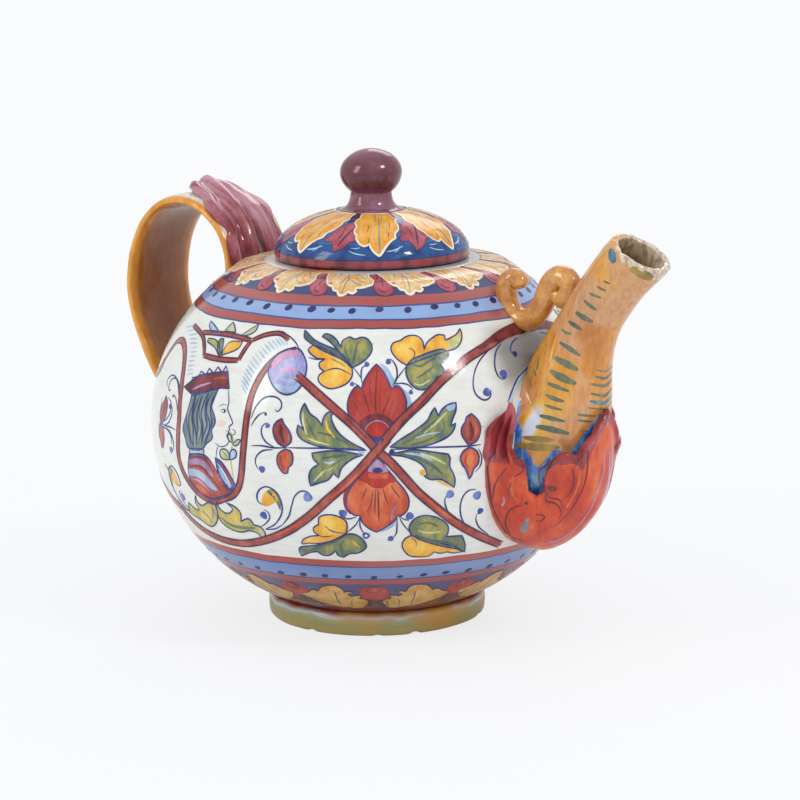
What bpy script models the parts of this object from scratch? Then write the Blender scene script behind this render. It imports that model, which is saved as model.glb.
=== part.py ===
import math

import bmesh
import bpy
from mathutils import Vector

# Lustreware teapot, hand-built in earthenware. Metres, +Z up, the spout along +X.
# Pieces are worked out from the pot's own axis and hang from one empty on that axis.

GAP = 0.0003                  # joint left between two luted pieces
TURN_STEPS = 48               # facets round every turned piece

# Body, turned: two half-ellipses that meet at the belly, on a flat turned base
BELLY_RADIUS = 0.0800
LOWER_RISE = 0.0713
UPPER_RISE = 0.0691
BODY_WALL = 0.0050
FLOOR_THICKNESS = 0.0055
COLLAR_RADIUS = 0.0385        # the mouth's opening, which the gallery ring fills
COLLAR_SLOPE = 0.0095         # width of the flatter ground round the mouth
COLLAR_RISE = 0.0016

# Foot ring and gallery ring
FOOT_RADIUS = 0.0391
FOOT_HEIGHT = 0.0082
FOOT_WIDTH = 0.0070
FOOT_STEP = 0.0021            # how far the foot stands out past the turned base
GALLERY_WIDTH = 0.0085        # from the collar in to the mouth
RING_DEPTH = 0.0065
RING_STAND = 0.0004
EDGE_ROUND = 0.0008

# Lid
LID_RADIUS = 0.0347
LID_RIM = 0.0017              # upright edge under the dome
LID_DOME = 0.0162
LID_WALL = 0.0042
FLANGE_PLAY = 0.0015
FLANGE_WIDTH = 0.0038
FLANGE_DEPTH = 0.0085
SEAT_LAP = 0.0005             # how far the lid's flat seat goes in past the flange
KNOB_RADIUS = 0.0110
KNOB_HALF_HEIGHT = 0.0087
KNOB_NECK_RADIUS = 0.0073
KNOB_BASE_RADIUS = 0.0118
KNOB_NECK_HEIGHT = 0.0062     # from the dome to the underside of the ball

# Spout, a tapered tube on a hollow bulb. Pairs are (out, up) from the belly's widest point.
SPOUT_WALL = 0.0034
SPOUT_REACH = 0.0339
SPOUT_RISE = 0.0676
SPOUT_ROOT = (-0.0085, -0.0204)
SPOUT_LOW_PULL = (0.0078, 0.0099)
SPOUT_HIGH_PULL = (-0.0026, 0.0329)
SPOUT_ROOT_RADIUS = 0.0166
SPOUT_NECK_RADIUS = 0.0103
LIP_RADIUS = 0.0112
LIP_TILT = math.radians(58.8)         # elevation of the way the lip faces
BULB_RADIUS = 0.0222
BULB_INSET = 0.0068           # bulb's axis inside the belly
BULB_DROP = 0.0290
BULB_LIFT = 0.0200
STRAINER_HOLE = 0.0050
STRAINER_PITCH = 0.0090
STRAINER_DROP = 0.0090        # middle hole under the belly's widest line

# Calyx, three lobed leaves round the spout's bulb
HUSK_RADIUS = 0.0252          # outer radius toward the front
HUSK_WIDEN = 0.0075           # added at the sides
HUSK_KEEL = 0.0016            # added along the front leaf's middle rib
KEEL_HALF = math.radians(14.0)
HUSK_INSET = 0.0060           # husk's axis inside the belly
HUSK_SINK = 0.0037            # its widest line under the belly's
HUSK_DROP = 0.0330
HUSK_LIFT = 0.0310
HUSK_LEAN = 0.0050            # how far the axis leans out over the height of HUSK_LIFT
LEAF_WALL = 0.0024
LEAF_PUFF = 0.0007
RIM_BEAD = 0.0010             # swelling of a leaf's outer face behind its edge
SIDE_SPLIT = math.radians(60.0)       # angle where the front leaf ends and a side leaf begins
SLIT_HALF = 0.0030            # half the opening between two leaves
SLIT_FOOT = 0.0170            # its foot under the husk's widest line

# Handle, a strap bent to a loop, with a leaf laid over its shoulder end
STRAP_WIDTH = 0.0330
STRAP_THICKNESS = 0.0042
HANDLE_LOOP = 0.0235          # strap's mid-line past the belly
HANDLE_CREST = 0.0166         # strap's mid-line above the gallery
HANDLE_CREST_INSET = 0.0020
HANDLE_SHOULDER = 0.0160      # shoulder end past the collar
HANDLE_WIDEST_DROP = 0.0336   # from the crest down to the widest point
HANDLE_FALL = 0.0180          # upright stretch under the widest point
HANDLE_TAIL = 0.0120          # lower end under the belly's widest line
TAIL_STAND = 0.0080           # how far the tail still stands off where it turns in
TAIL_TURN = 0.0030            # and how far above the belly's widest line
TAIL_BURY = 0.0020
LEAF_HALF_WIDTH = 0.0158
LEAF_RIDGE = 0.0016           # leaf's mid-surface over the strap, at its middle ridge
LEAF_EDGE = -0.0014           # and at its sides, which lap the strap's rounded edges
TIP_LIFT = 0.0046
TIP_NARROW = 0.5

# Scrolled brace between shoulder and spout: its line, (out, up) from the belly's widest point
COIL_RADIUS = 0.0026
COIL_END = 0.75               # share of its thickness left at the ends
BRACE_LINE = [(-0.0138, 0.0475), (-0.0120, 0.0495), (-0.0120, 0.0531), (-0.0140, 0.0555), (-0.0170, 0.0552),
              (-0.0192, 0.0518), (-0.0191, 0.0469), (-0.0166, 0.0424), (-0.0124, 0.0407), (-0.0080, 0.0432),
              (-0.0056, 0.0484), (-0.0040, 0.0535), (-0.0011, 0.0565), (0.0022, 0.0559), (0.0035, 0.0528),
              (0.0022, 0.0497), (-0.0002, 0.0487)]

base_radius = FOOT_RADIUS - FOOT_STEP
base_height = FOOT_HEIGHT + GAP
belly_height = base_height + LOWER_RISE * math.sqrt(1 - (base_radius / BELLY_RADIUS) ** 2)
break_radius = COLLAR_RADIUS + COLLAR_SLOPE
break_height = belly_height + UPPER_RISE * math.sqrt(1 - (break_radius / BELLY_RADIUS) ** 2)
collar_height = break_height + COLLAR_RISE
ring_top = collar_height + RING_STAND
mouth_radius = COLLAR_RADIUS - GALLERY_WIDTH
flange_radius = mouth_radius - FLANGE_PLAY
lid_hollow_radius = flange_radius - FLANGE_WIDTH - SEAT_LAP
lid_foot = ring_top + GAP
knob_seat_radius = KNOB_BASE_RADIUS + EDGE_ROUND
dome_top = lid_foot + LID_RIM + LID_DOME * math.sqrt(1 - (knob_seat_radius / LID_RADIUS) ** 2)

lip_x = BELLY_RADIUS + SPOUT_REACH
lip_z = belly_height + SPOUT_RISE
handle_out = BELLY_RADIUS + HANDLE_LOOP
tip_slope = math.atan2(SPOUT_RISE - SPOUT_HIGH_PULL[1], SPOUT_REACH - SPOUT_HIGH_PULL[0])
spout_end = lip_x + LIP_RADIUS / math.cos(LIP_TILT - tip_slope) * math.sin(LIP_TILT)
handle_end = handle_out + STRAP_THICKNESS / 2
pot_axis_x = (handle_end - spout_end) / 2      # sets the middle of the whole length at x = 0

for old in list(bpy.data.objects):
    bpy.data.objects.remove(old, do_unlink=True)

pieces = bpy.data.collections.new("lustreware_teapot")
cutters = bpy.data.collections.new("cutters")
bpy.context.scene.collection.children.link(pieces)
bpy.context.scene.collection.children.link(cutters)

pot_axis = bpy.data.objects.new("pot_axis", None)
pot_axis.location = (pot_axis_x, 0, 0)
pieces.objects.link(pot_axis)


def glaze(name, colour, roughness, metallic=0.0):
    material = bpy.data.materials.new(name)
    material.use_nodes = True
    shader = material.node_tree.nodes["Principled BSDF"]
    shader.inputs["Base Color"].default_value = (*colour, 1)
    shader.inputs["Roughness"].default_value = roughness
    shader.inputs["Metallic"].default_value = metallic
    material.diffuse_color = (*colour, 1)
    return material


def add_piece(name, mesh, material=None):
    """A part of the pot where a material is given, and otherwise a cutter."""
    piece = bpy.data.objects.new(name, mesh)
    piece.parent = pot_axis
    if material is None:
        cutters.objects.link(piece)
        piece.hide_render = True
        piece.display_type = "WIRE"
    else:
        pieces.objects.link(piece)
        mesh.materials.append(material)
    return piece


def turned(name, profile, material=None, closed=False, axis_x=0.0, steps=TURN_STEPS):
    """Turn (radius, height) points, listed down the outer side, round an upright axis."""
    mesh = bpy.data.meshes.new(name)
    edges = [(i, i + 1) for i in range(len(profile) - 1)]
    if closed:
        edges.append((len(profile) - 1, 0))
    mesh.from_pydata([(radius, 0, height) for radius, height in profile], edges, [])
    piece = add_piece(name, mesh, material)
    piece.location.x = axis_x
    screw = piece.modifiers.new("turn", "SCREW")
    screw.steps = steps
    screw.render_steps = steps
    screw.use_merge_vertices = True
    screw.merge_threshold = 0.00001
    screw.use_smooth_shade = True
    return piece


def swept(name, path, radii, material=None, resolution=6):
    """A round tube of changing radius along a path, made a mesh with welded caps."""
    curve = bpy.data.curves.new(name, "CURVE")
    curve.dimensions = "3D"
    curve.bevel_depth = 1.0
    curve.bevel_resolution = resolution
    curve.use_fill_caps = True
    spline = curve.splines.new("POLY")
    spline.points.add(len(path) - 1)
    for point, place, radius in zip(spline.points, path, radii):
        point.co = (*place, 1)
        point.radius = radius
    return meshed(name, curve, material)


def meshed(name, curve, material):
    holder = bpy.data.objects.new(name + "_curve", curve)
    bpy.context.scene.collection.objects.link(holder)
    bpy.context.view_layer.update()
    drawn = holder.evaluated_get(bpy.context.evaluated_depsgraph_get())
    mesh = bpy.data.meshes.new_from_object(drawn)
    mesh.name = name
    bpy.data.objects.remove(holder, do_unlink=True)
    shape = bmesh.new()
    shape.from_mesh(mesh)
    bmesh.ops.remove_doubles(shape, verts=shape.verts, dist=0.00001)
    bmesh.ops.recalc_face_normals(shape, faces=shape.faces)
    shape.to_mesh(mesh)
    shape.free()
    mesh.materials.clear()
    mesh.shade_smooth()
    return add_piece(name, mesh, material)


def sheet(name, across, along, place, thickness, material):
    """A grid whose points go to place(across share, along share), thickened both ways."""
    shape = bmesh.new()
    bmesh.ops.create_grid(shape, x_segments=across, y_segments=along, size=0.5)
    for point in shape.verts:
        point.co = place(point.co.x + 0.5, point.co.y + 0.5)
    mesh = bpy.data.meshes.new(name)
    shape.to_mesh(mesh)
    shape.free()
    mesh.shade_smooth()
    piece = add_piece(name, mesh, material)
    wall = piece.modifiers.new("wall", "SOLIDIFY")
    wall.thickness = thickness
    wall.offset = 0
    wall.use_even_offset = False
    return piece


def slab(name, across, alongs, place, material):
    """A closed leaf between two skins: place(across share, along share, +1 outer or -1 inner)."""
    shape = bmesh.new()
    skins = []
    for face in (1, -1):
        skins.append([[shape.verts.new(place(i / across, along, face)) for i in range(across + 1)]
                      for along in alongs])
    rows = len(alongs) - 1
    for face, skin in zip((1, -1), skins):
        for row in range(rows):
            for i in range(across):
                corners = (skin[row][i], skin[row][i + 1], skin[row + 1][i + 1], skin[row + 1][i])
                shape.faces.new(corners[::face])
    outer, inner = skins
    rim = ([(0, i) for i in range(across)] + [(row, across) for row in range(rows)]
           + [(rows, i) for i in range(across, 0, -1)] + [(row, 0) for row in range(rows, 0, -1)])
    for (row, i), (next_row, next_i) in zip(rim, rim[1:] + rim[:1]):
        shape.faces.new((outer[next_row][next_i], outer[row][i], inner[row][i], inner[next_row][next_i]))
    bmesh.ops.recalc_face_normals(shape, faces=shape.faces)
    mesh = bpy.data.meshes.new(name)
    shape.to_mesh(mesh)
    shape.free()
    mesh.shade_smooth()
    return add_piece(name, mesh, material)


def boolean(piece, tool, operation="DIFFERENCE"):
    change = piece.modifiers.new(operation.lower() + "_" + tool.name, "BOOLEAN")
    change.operation = operation
    change.object = tool
    change.solver = "EXACT"


def bezier(points, share):
    a, b, c, d = points
    rest = 1 - share
    return a * rest ** 3 + b * 3 * rest ** 2 * share + c * 3 * rest * share ** 2 + d * share ** 3


def smooth_path(points, steps):
    """A curve through the given points, with `steps` points for each stretch."""
    path = []
    for i in range(len(points) - 1):
        before = points[max(i - 1, 0)]
        start, end = points[i], points[i + 1]
        after = points[min(i + 2, len(points) - 1)]
        for step in range(steps):
            t = step / steps
            path.append(0.5 * (2 * start + (end - before) * t
                               + (2 * before - 5 * start + 4 * end - after) * t ** 2
                               + (3 * start - before - 3 * end + after) * t ** 3))
    path.append(points[-1])
    return path


def body_outline(grow, segments=16):
    """The body's outer side from the collar down to the base, moved out by `grow`."""
    top = math.acos(break_radius / BELLY_RADIUS)
    bottom = -math.acos(base_radius / BELLY_RADIUS)
    points = [(COLLAR_RADIUS, collar_height + grow)]
    for i in range(segments + 1):
        angle = top + (bottom - top) * i / segments
        points.append(((BELLY_RADIUS + grow) * math.cos(angle),
                       belly_height + (LOWER_RISE if angle < 0 else UPPER_RISE) * math.sin(angle)
                       + grow * math.sin(angle)))
    points.append((0, base_height - grow))
    return points


def body_hollow(segments=11):
    """The inner side, from the floor's middle up to the opening."""
    floor = base_height + FLOOR_THICKNESS
    inner_lower = LOWER_RISE - BODY_WALL
    inner_upper = UPPER_RISE - BODY_WALL
    bottom = -math.asin((belly_height - floor) / inner_lower)
    top = math.acos(break_radius / BELLY_RADIUS)
    points = [(0, floor)]
    for i in range(segments + 1):
        angle = bottom + (top - bottom) * i / segments
        points.append(((BELLY_RADIUS - BODY_WALL) * math.cos(angle),
                       belly_height + (inner_lower if angle < 0 else inner_upper) * math.sin(angle)))
    points.append((COLLAR_RADIUS, collar_height - BODY_WALL))
    return points


def make_body(material):
    body = turned("body_shell", body_hollow() + body_outline(0), material)
    holes = bmesh.new()
    spots = [(0, 0)] + [(STRAINER_PITCH * math.cos(math.radians(a)),
                         STRAINER_PITCH * math.sin(math.radians(a))) for a in range(0, 360, 60)]
    depth = 8 * BODY_WALL
    for y, z in spots:
        drill = bmesh.ops.create_cone(holes, cap_ends=True, segments=10, radius1=STRAINER_HOLE / 2,
                                      radius2=STRAINER_HOLE / 2, depth=depth)["verts"]
        for point in drill:
            lying = Vector((point.co.z, point.co.y, -point.co.x))
            point.co = lying + from_belly(-BODY_WALL / 2, z - STRAINER_DROP, y)
    mesh = bpy.data.meshes.new("strainer_drills")
    holes.to_mesh(mesh)
    holes.free()
    boolean(body, add_piece("strainer_drills", mesh))
    return body


def make_foot(material):
    inner = FOOT_RADIUS - FOOT_WIDTH
    profile = [(inner, FOOT_HEIGHT), (base_radius, FOOT_HEIGHT),
               (FOOT_RADIUS - EDGE_ROUND / 2, FOOT_HEIGHT - EDGE_ROUND / 2),
               (FOOT_RADIUS, FOOT_HEIGHT / 2),
               (FOOT_RADIUS - EDGE_ROUND / 4, EDGE_ROUND), (FOOT_RADIUS - EDGE_ROUND, 0),
               (inner + EDGE_ROUND, 0), (inner, EDGE_ROUND)]
    return turned("foot_ring", profile, material, closed=True)


def make_gallery(material):
    outer = COLLAR_RADIUS - GAP
    bottom = ring_top - RING_DEPTH
    profile = [(mouth_radius + EDGE_ROUND, ring_top), (outer - EDGE_ROUND, ring_top),
               (outer, ring_top - EDGE_ROUND / 2), (outer, bottom),
               (mouth_radius, bottom), (mouth_radius, ring_top - EDGE_ROUND)]
    return turned("gallery_ring", profile, material, closed=True)


def make_lid(material):
    """A flat seat under the rim, a shallow dome above, hollow inside the seat."""
    rim_top = lid_foot + LID_RIM
    profile = [(0, dome_top), (knob_seat_radius, dome_top)]
    low = math.acos(knob_seat_radius / LID_RADIUS)
    for i in range(1, 9):
        angle = low * (1 - i / 8)
        profile.append((LID_RADIUS * math.cos(angle), rim_top + LID_DOME * math.sin(angle)))
    profile += [(LID_RADIUS, lid_foot + EDGE_ROUND), (LID_RADIUS - EDGE_ROUND, lid_foot),
                (lid_hollow_radius, lid_foot)]
    inner_rise = dome_top - LID_WALL - lid_foot
    for i in range(1, 6):
        angle = math.radians(90) * i / 5
        profile.append((lid_hollow_radius * math.cos(angle), lid_foot + inner_rise * math.sin(angle)))
    profile[-1] = (0, lid_foot + inner_rise)
    return turned("lid_dome", profile, material)


def make_flange(material):
    inner = flange_radius - FLANGE_WIDTH
    top = lid_foot - GAP
    foot = lid_foot - FLANGE_DEPTH
    profile = [(inner, top), (flange_radius, top), (flange_radius, foot + EDGE_ROUND),
               (flange_radius - EDGE_ROUND, foot), (inner, foot)]
    return turned("lid_flange", profile, material, closed=True)


def make_knob(material):
    seat = dome_top + GAP
    under = math.asin(KNOB_NECK_RADIUS / KNOB_RADIUS)
    middle = seat + KNOB_NECK_HEIGHT + KNOB_HALF_HEIGHT * math.cos(under)
    profile = []
    for i in range(8):
        angle = (math.pi - under) * i / 7
        profile.append((KNOB_RADIUS * math.sin(angle), middle + KNOB_HALF_HEIGHT * math.cos(angle)))
    flare = KNOB_BASE_RADIUS - KNOB_NECK_RADIUS
    for share in (0.35, 0.7, 0.92):
        sweep = math.radians(90) * share
        profile.append((KNOB_NECK_RADIUS + flare * (1 - math.cos(sweep)),
                        seat + EDGE_ROUND + (KNOB_NECK_HEIGHT - EDGE_ROUND) * (1 - math.sin(sweep))))
    profile += [(KNOB_BASE_RADIUS, seat + EDGE_ROUND), (KNOB_BASE_RADIUS - EDGE_ROUND / 2, seat), (0, seat)]
    return turned("lid_knob", profile, material, steps=28)


def from_belly(out, up, side=0.0):
    return Vector((BELLY_RADIUS + out, side, belly_height + up))


def spout_place(share):
    """Mid-line of the spout; the shares past 1 go on straight through the lip."""
    root, low_pull, high_pull, lip = [from_belly(*pair) for pair in
                                      (SPOUT_ROOT, SPOUT_LOW_PULL, SPOUT_HIGH_PULL, (SPOUT_REACH, SPOUT_RISE))]
    if share <= 1:
        return bezier((root, low_pull, high_pull, lip), share)
    return lip + (lip - high_pull) * 3 * (share - 1)


def spout_radius(share):
    ease = min(max((share - 0.35) / 0.45, 0), 1)
    ease = ease * ease * (3 - 2 * ease)
    flare = max((share - 0.88) / 0.12, 0) ** 2
    return (SPOUT_ROOT_RADIUS + (SPOUT_NECK_RADIUS - SPOUT_ROOT_RADIUS) * ease
            + (LIP_RADIUS - SPOUT_NECK_RADIUS) * flare)


def spout_tube(name, grow, material=None, past_lip=0.0):
    shares = [0.08 + (0.92 + past_lip) * i / 15 for i in range(16)]
    return swept(name, [spout_place(share) for share in shares],
                 [spout_radius(min(share, 1)) + grow for share in shares], material)


def spout_bulb(name, grow):
    radius = BULB_RADIUS + grow
    profile = []
    for i in range(13):
        angle = math.radians(90 - 15 * i)
        rise = BULB_LIFT if angle > 0 else BULB_DROP
        profile.append((radius * math.cos(angle), belly_height - HUSK_SINK + (rise + grow) * math.sin(angle)))
    profile[0] = (0, profile[0][1])
    profile[-1] = (0, profile[-1][1])
    return turned(name, profile, axis_x=BELLY_RADIUS - BULB_INSET, steps=24)


def make_spout(material, body_cutter):
    spout = spout_tube("spout_tube", 0, material, past_lip=0.08)
    boolean(spout, spout_bulb("bulb_outside", 0), "UNION")
    boolean(spout, spout_tube("bore_tube", -SPOUT_WALL, past_lip=0.16))
    boolean(spout, spout_bulb("bore_bulb", -SPOUT_WALL))
    boolean(spout, body_cutter)
    trim = bmesh.new()
    bmesh.ops.create_cube(trim, size=6 * LIP_RADIUS)
    mesh = bpy.data.meshes.new("lip_trim")
    trim.to_mesh(mesh)
    trim.free()
    block = add_piece("lip_trim", mesh)
    faces = Vector((math.cos(LIP_TILT), 0, math.sin(LIP_TILT)))
    block.location = Vector((lip_x, 0, lip_z)) + faces * 3 * LIP_RADIUS
    block.rotation_euler.y = math.radians(90) - LIP_TILT
    boolean(spout, block)
    return spout


def lobed_top(angle, lobes, fall):
    """Height of a leaf's edge at an angle: the highest of its rounded lobes."""
    heights = []
    for middle, height, half in lobes:
        off = min(abs(angle - middle) / half, 1.5)
        heights.append(height - fall * off ** 2.4)
    return max(heights)


def husk_place(angle, height):
    """A point of the leaves' mid-surface at an angle and a height above the husk's widest line."""
    reach = HUSK_DROP if height < 0 else HUSK_LIFT
    keel = HUSK_KEEL * math.exp(-(angle / KEEL_HALF) ** 2)
    outer = HUSK_RADIUS + HUSK_WIDEN * min(abs(angle) / math.radians(90), 1) ** 4 + keel
    radius = (outer - LEAF_WALL / 2) * math.sqrt(max(1 - (height / reach) ** 2, 0))
    middle = BELLY_RADIUS - HUSK_INSET + HUSK_LEAN * max(height, 0) / HUSK_LIFT
    out = Vector((math.cos(angle), math.sin(angle), 0))
    return Vector((middle, 0, belly_height - HUSK_SINK + height)) + out * radius, out


def leaf_surface(across, along, face, start, end, lobes, fall):
    """Along runs from the leaf's foot to its edge, and the outer face swells to a bead before it."""
    angle = start + (end - start) * across
    low = math.radians(-88)
    high = math.asin(lobed_top(angle, lobes, fall) / HUSK_LIFT)
    rise = low + (high - low) * along
    height = (HUSK_DROP if rise < 0 else HUSK_LIFT) * math.sin(rise)
    nearest = min(abs(angle - middle) / half for middle, _, half in lobes)
    open_share = min(max((height + SLIT_FOOT) / (SLIT_FOOT / 2), 0), 1)
    open_share = open_share * open_share * (3 - 2 * open_share)
    half_slit = GAP / 2 + (SLIT_HALF - GAP / 2) * open_share
    radius = max((husk_place(angle, height)[0] - husk_place(angle + math.pi, height)[0]).length / 2, half_slit)
    for edge in (start, end):
        near = max(1 - abs(angle - edge) / math.radians(30), 0)
        inward = math.copysign(1, (start + end) / 2 - edge)
        angle += inward * near * math.asin(half_slit / radius)
    place, out = husk_place(angle, height)
    place += out * LEAF_PUFF * math.cos(min(nearest, 1) * math.pi) * max(along - 0.4, 0) / 0.6
    rim = max((along - 0.8) / 0.2, 0)
    bead = RIM_BEAD * math.sin(math.pi * rim) ** 2 if face > 0 else 0
    half_wall = LEAF_WALL / 2 * (1 - 0.5 * max(rim - 0.6, 0) / 0.4)
    normal = out * math.cos(rise) + Vector((0, 0, math.sin(rise)))
    return place + normal * (face * half_wall + bead)


def make_leaf(name, start, end, lobes, fall, columns, material, cutters_used):
    def place(across, along, face):
        return leaf_surface(across, along, face, start, end, lobes, fall)
    alongs = [0, 0.12, 0.25, 0.39, 0.53, 0.67, 0.8, 0.86, 0.92, 0.97, 1]
    leaf = slab(name, columns, alongs, place, material)
    for cutter in cutters_used:
        boolean(leaf, cutter)
    return leaf


def make_calyx(material, cutters_used):
    turn = math.radians
    front_lobes = [(turn(0), 0.0165, turn(13)), (turn(24), 0.0105, turn(12)), (turn(-24), 0.0105, turn(12)),
                   (turn(47), 0.0040, turn(13)), (turn(-47), 0.0040, turn(13))]
    make_leaf("calyx_leaf_front", -SIDE_SPLIT, SIDE_SPLIT, front_lobes, 0.0060, 40, material, cutters_used)
    for side, name in ((1, "calyx_leaf_left"), (-1, "calyx_leaf_right")):
        side_lobes = [(side * turn(92), 0.0200, turn(13)), (side * turn(71), 0.0065, turn(11))]
        make_leaf(name, side * SIDE_SPLIT, side * turn(180), side_lobes, 0.0060, 26, material, cutters_used)


def strap_path(steps):
    """Mid-line of the strap from inside the shoulder, over the crest and down to the belly."""
    crest_x = BELLY_RADIUS - HANDLE_CREST_INSET
    crest_z = ring_top + HANDLE_CREST
    shoulder_x = COLLAR_RADIUS + HANDLE_SHOULDER
    shoulder_z = belly_height + UPPER_RISE * math.sqrt(1 - (shoulder_x / BELLY_RADIUS) ** 2)
    widest_z = crest_z - HANDLE_WIDEST_DROP
    near_rise = crest_z - shoulder_z
    path = [Vector((-shoulder_x, 0, shoulder_z - 2 * BODY_WALL))]
    for i in range(steps):
        angle = math.radians(90) * i / steps
        path.append(Vector((-crest_x + (crest_x - shoulder_x) * math.cos(angle), 0,
                            shoulder_z + near_rise * math.sin(angle))))
    for i in range(steps):
        angle = math.radians(90) * i / steps
        path.append(Vector((-crest_x - (handle_out - crest_x) * math.sin(angle), 0,
                            widest_z + HANDLE_WIDEST_DROP * math.cos(angle))))
    tail = (Vector((-handle_out, 0, widest_z)), Vector((-handle_out, 0, widest_z - HANDLE_FALL)),
            Vector((-BELLY_RADIUS - TAIL_STAND, 0, belly_height + TAIL_TURN)),
            Vector((-BELLY_RADIUS + TAIL_BURY, 0, belly_height - HANDLE_TAIL)))
    for i in range(steps + 1):
        path.append(bezier(tail, i / steps))
    return path


def strap_section(grow):
    """Closed flat curve of the strap's section, its corners rounded like a pressed slab."""
    section = bpy.data.curves.new("strap_section", "CURVE")
    section.dimensions = "2D"
    section.fill_mode = "NONE"
    spline = section.splines.new("POLY")
    count = 12
    spline.points.add(count - 1)
    half_thick = STRAP_THICKNESS / 2 + grow
    half_wide = STRAP_WIDTH / 2 + grow
    for i, point in enumerate(spline.points):
        angle = 2 * math.pi * (i + 0.5) / count
        side = math.copysign(abs(math.cos(angle)) ** 0.45, math.cos(angle))
        face = math.copysign(abs(math.sin(angle)) ** 0.75, math.sin(angle))
        point.co = (half_thick * face, half_wide * side, 0, 1)
    spline.use_cyclic_u = True
    holder = bpy.data.objects.new("strap_section", section)
    bpy.context.scene.collection.objects.link(holder)
    return holder


def strap(name, grow, material=None):
    section = strap_section(grow)
    curve = bpy.data.curves.new(name, "CURVE")
    curve.dimensions = "3D"
    curve.twist_mode = "MINIMUM"
    curve.bevel_mode = "OBJECT"
    curve.bevel_object = section
    curve.use_fill_caps = True
    path = strap_path(10)
    spline = curve.splines.new("POLY")
    spline.points.add(len(path) - 1)
    for point, place in zip(spline.points, path):
        point.co = (*place, 1)
    piece = meshed(name, curve, material)
    bpy.data.objects.remove(section, do_unlink=True)
    return piece


def strap_frame(share):
    """Place and outward direction on the strap's upper face, share 0 at the shoulder, 1 past the crest."""
    crest_x = BELLY_RADIUS - HANDLE_CREST_INSET
    crest_z = ring_top + HANDLE_CREST
    shoulder_x = COLLAR_RADIUS + HANDLE_SHOULDER
    shoulder_z = belly_height + UPPER_RISE * math.sqrt(1 - (shoulder_x / BELLY_RADIUS) ** 2)
    angle = math.radians(-18 + 112 * share)
    wide, high = crest_x - shoulder_x, crest_z - shoulder_z
    if angle < math.radians(90):
        middle = Vector((-crest_x + wide * math.cos(angle), 0, shoulder_z + high * math.sin(angle)))
        out = Vector((high * math.cos(angle), 0, wide * math.sin(angle))).normalized()
        if angle < 0:
            middle = Vector((-shoulder_x, 0, shoulder_z + high * angle))
            out = Vector((1, 0, 0))
    else:
        over = angle - math.radians(90)
        middle = Vector((-crest_x - (handle_out - crest_x) * math.sin(over), 0,
                         crest_z - HANDLE_WIDEST_DROP * (1 - math.cos(over))))
        out = Vector((-math.sin(over), 0, math.cos(over)))
    return middle + out * (STRAP_THICKNESS / 2 + GAP), out


def handle_leaf_place(across, along):
    """Three lobes a side, a middle ridge, and a tip that lifts off the strap and curls back."""
    side = 2 * across - 1
    seat, out = strap_frame(along)
    back = Vector((out.z, 0, -out.x))
    narrow = 1 - TIP_NARROW * max((along - 0.6) / 0.4, 0) ** 2
    lobe = 1 - 0.13 * abs(math.sin(3 * math.pi * along + 0.5)) ** 3
    half = LEAF_HALF_WIDTH * narrow * lobe
    ridge = LEAF_EDGE + (LEAF_RIDGE - LEAF_EDGE) * (1 - abs(side) ** 1.5)
    furrow = 0.0006 * math.cos(3 * math.pi * side) * (1 - abs(side))
    height = ridge - furrow
    lift = max((along - 0.6) / 0.4, 0)
    place = seat + Vector((0, side * half, 0)) + out * height
    return place + out * TIP_LIFT * lift ** 1.6 * (1 - 0.5 * abs(side)) + back * TIP_LIFT * 0.3 * lift ** 4


def make_handle_leaf(material, body_cutter):
    leaf = sheet("handle_leaf", 14, 18, handle_leaf_place, LEAF_WALL, material)
    boolean(leaf, strap("strap_clearance", GAP))
    boolean(leaf, body_cutter)
    return leaf


def make_brace(material, cutters_used):
    """A clay coil bent to an S, its curls luted to the shoulder and to the spout."""
    path = smooth_path([from_belly(out, up) for out, up in BRACE_LINE], 3)
    last = len(path) - 1
    radii = [COIL_RADIUS * (COIL_END + (1 - COIL_END) * min(5 * i / last, 5 * (last - i) / last, 1))
             for i in range(last + 1)]
    brace = swept("scroll_brace", path, radii, material, resolution=2)
    for cutter in cutters_used:
        boolean(brace, cutter)
    return brace


cream_glaze = glaze("cream_tin_glaze", (0.78, 0.74, 0.66), 0.18)
olive_glaze = glaze("olive_foot_glaze", (0.35, 0.30, 0.12), 0.30)
ochre_glaze = glaze("ochre_lustre", (0.72, 0.36, 0.08), 0.20)
ruby_lustre = glaze("ruby_lustre", (0.32, 0.09, 0.10), 0.16)
vermilion_glaze = glaze("vermilion_glaze", (0.62, 0.12, 0.06), 0.18)
blue_glaze = glaze("blue_lid_glaze", (0.10, 0.18, 0.42), 0.18)
bare_clay = glaze("bare_clay", (0.66, 0.52, 0.40), 0.75)

body_cutter = turned("body_clearance", [(0, collar_height + GAP)] + body_outline(GAP))
tube_cutter = spout_tube("spout_clearance", GAP)
bulb_cutter = spout_bulb("bulb_clearance", GAP)

make_body(cream_glaze)
make_foot(olive_glaze)
make_gallery(ochre_glaze)
make_lid(blue_glaze)
make_flange(bare_clay)
make_knob(ruby_lustre)
make_spout(ochre_glaze, body_cutter)
make_calyx(vermilion_glaze, (body_cutter, tube_cutter, bulb_cutter))
handle = strap("handle_strap", 0, ochre_glaze)
boolean(handle, body_cutter)
make_handle_leaf(ruby_lustre, body_cutter)
make_brace(ochre_glaze, (body_cutter, tube_cutter))
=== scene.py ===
import math

import bpy
from mathutils import Matrix, Vector, noise
from mathutils.bvhtree import BVHTree
from mathutils.geometry import delaunay_2d_cdt


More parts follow.
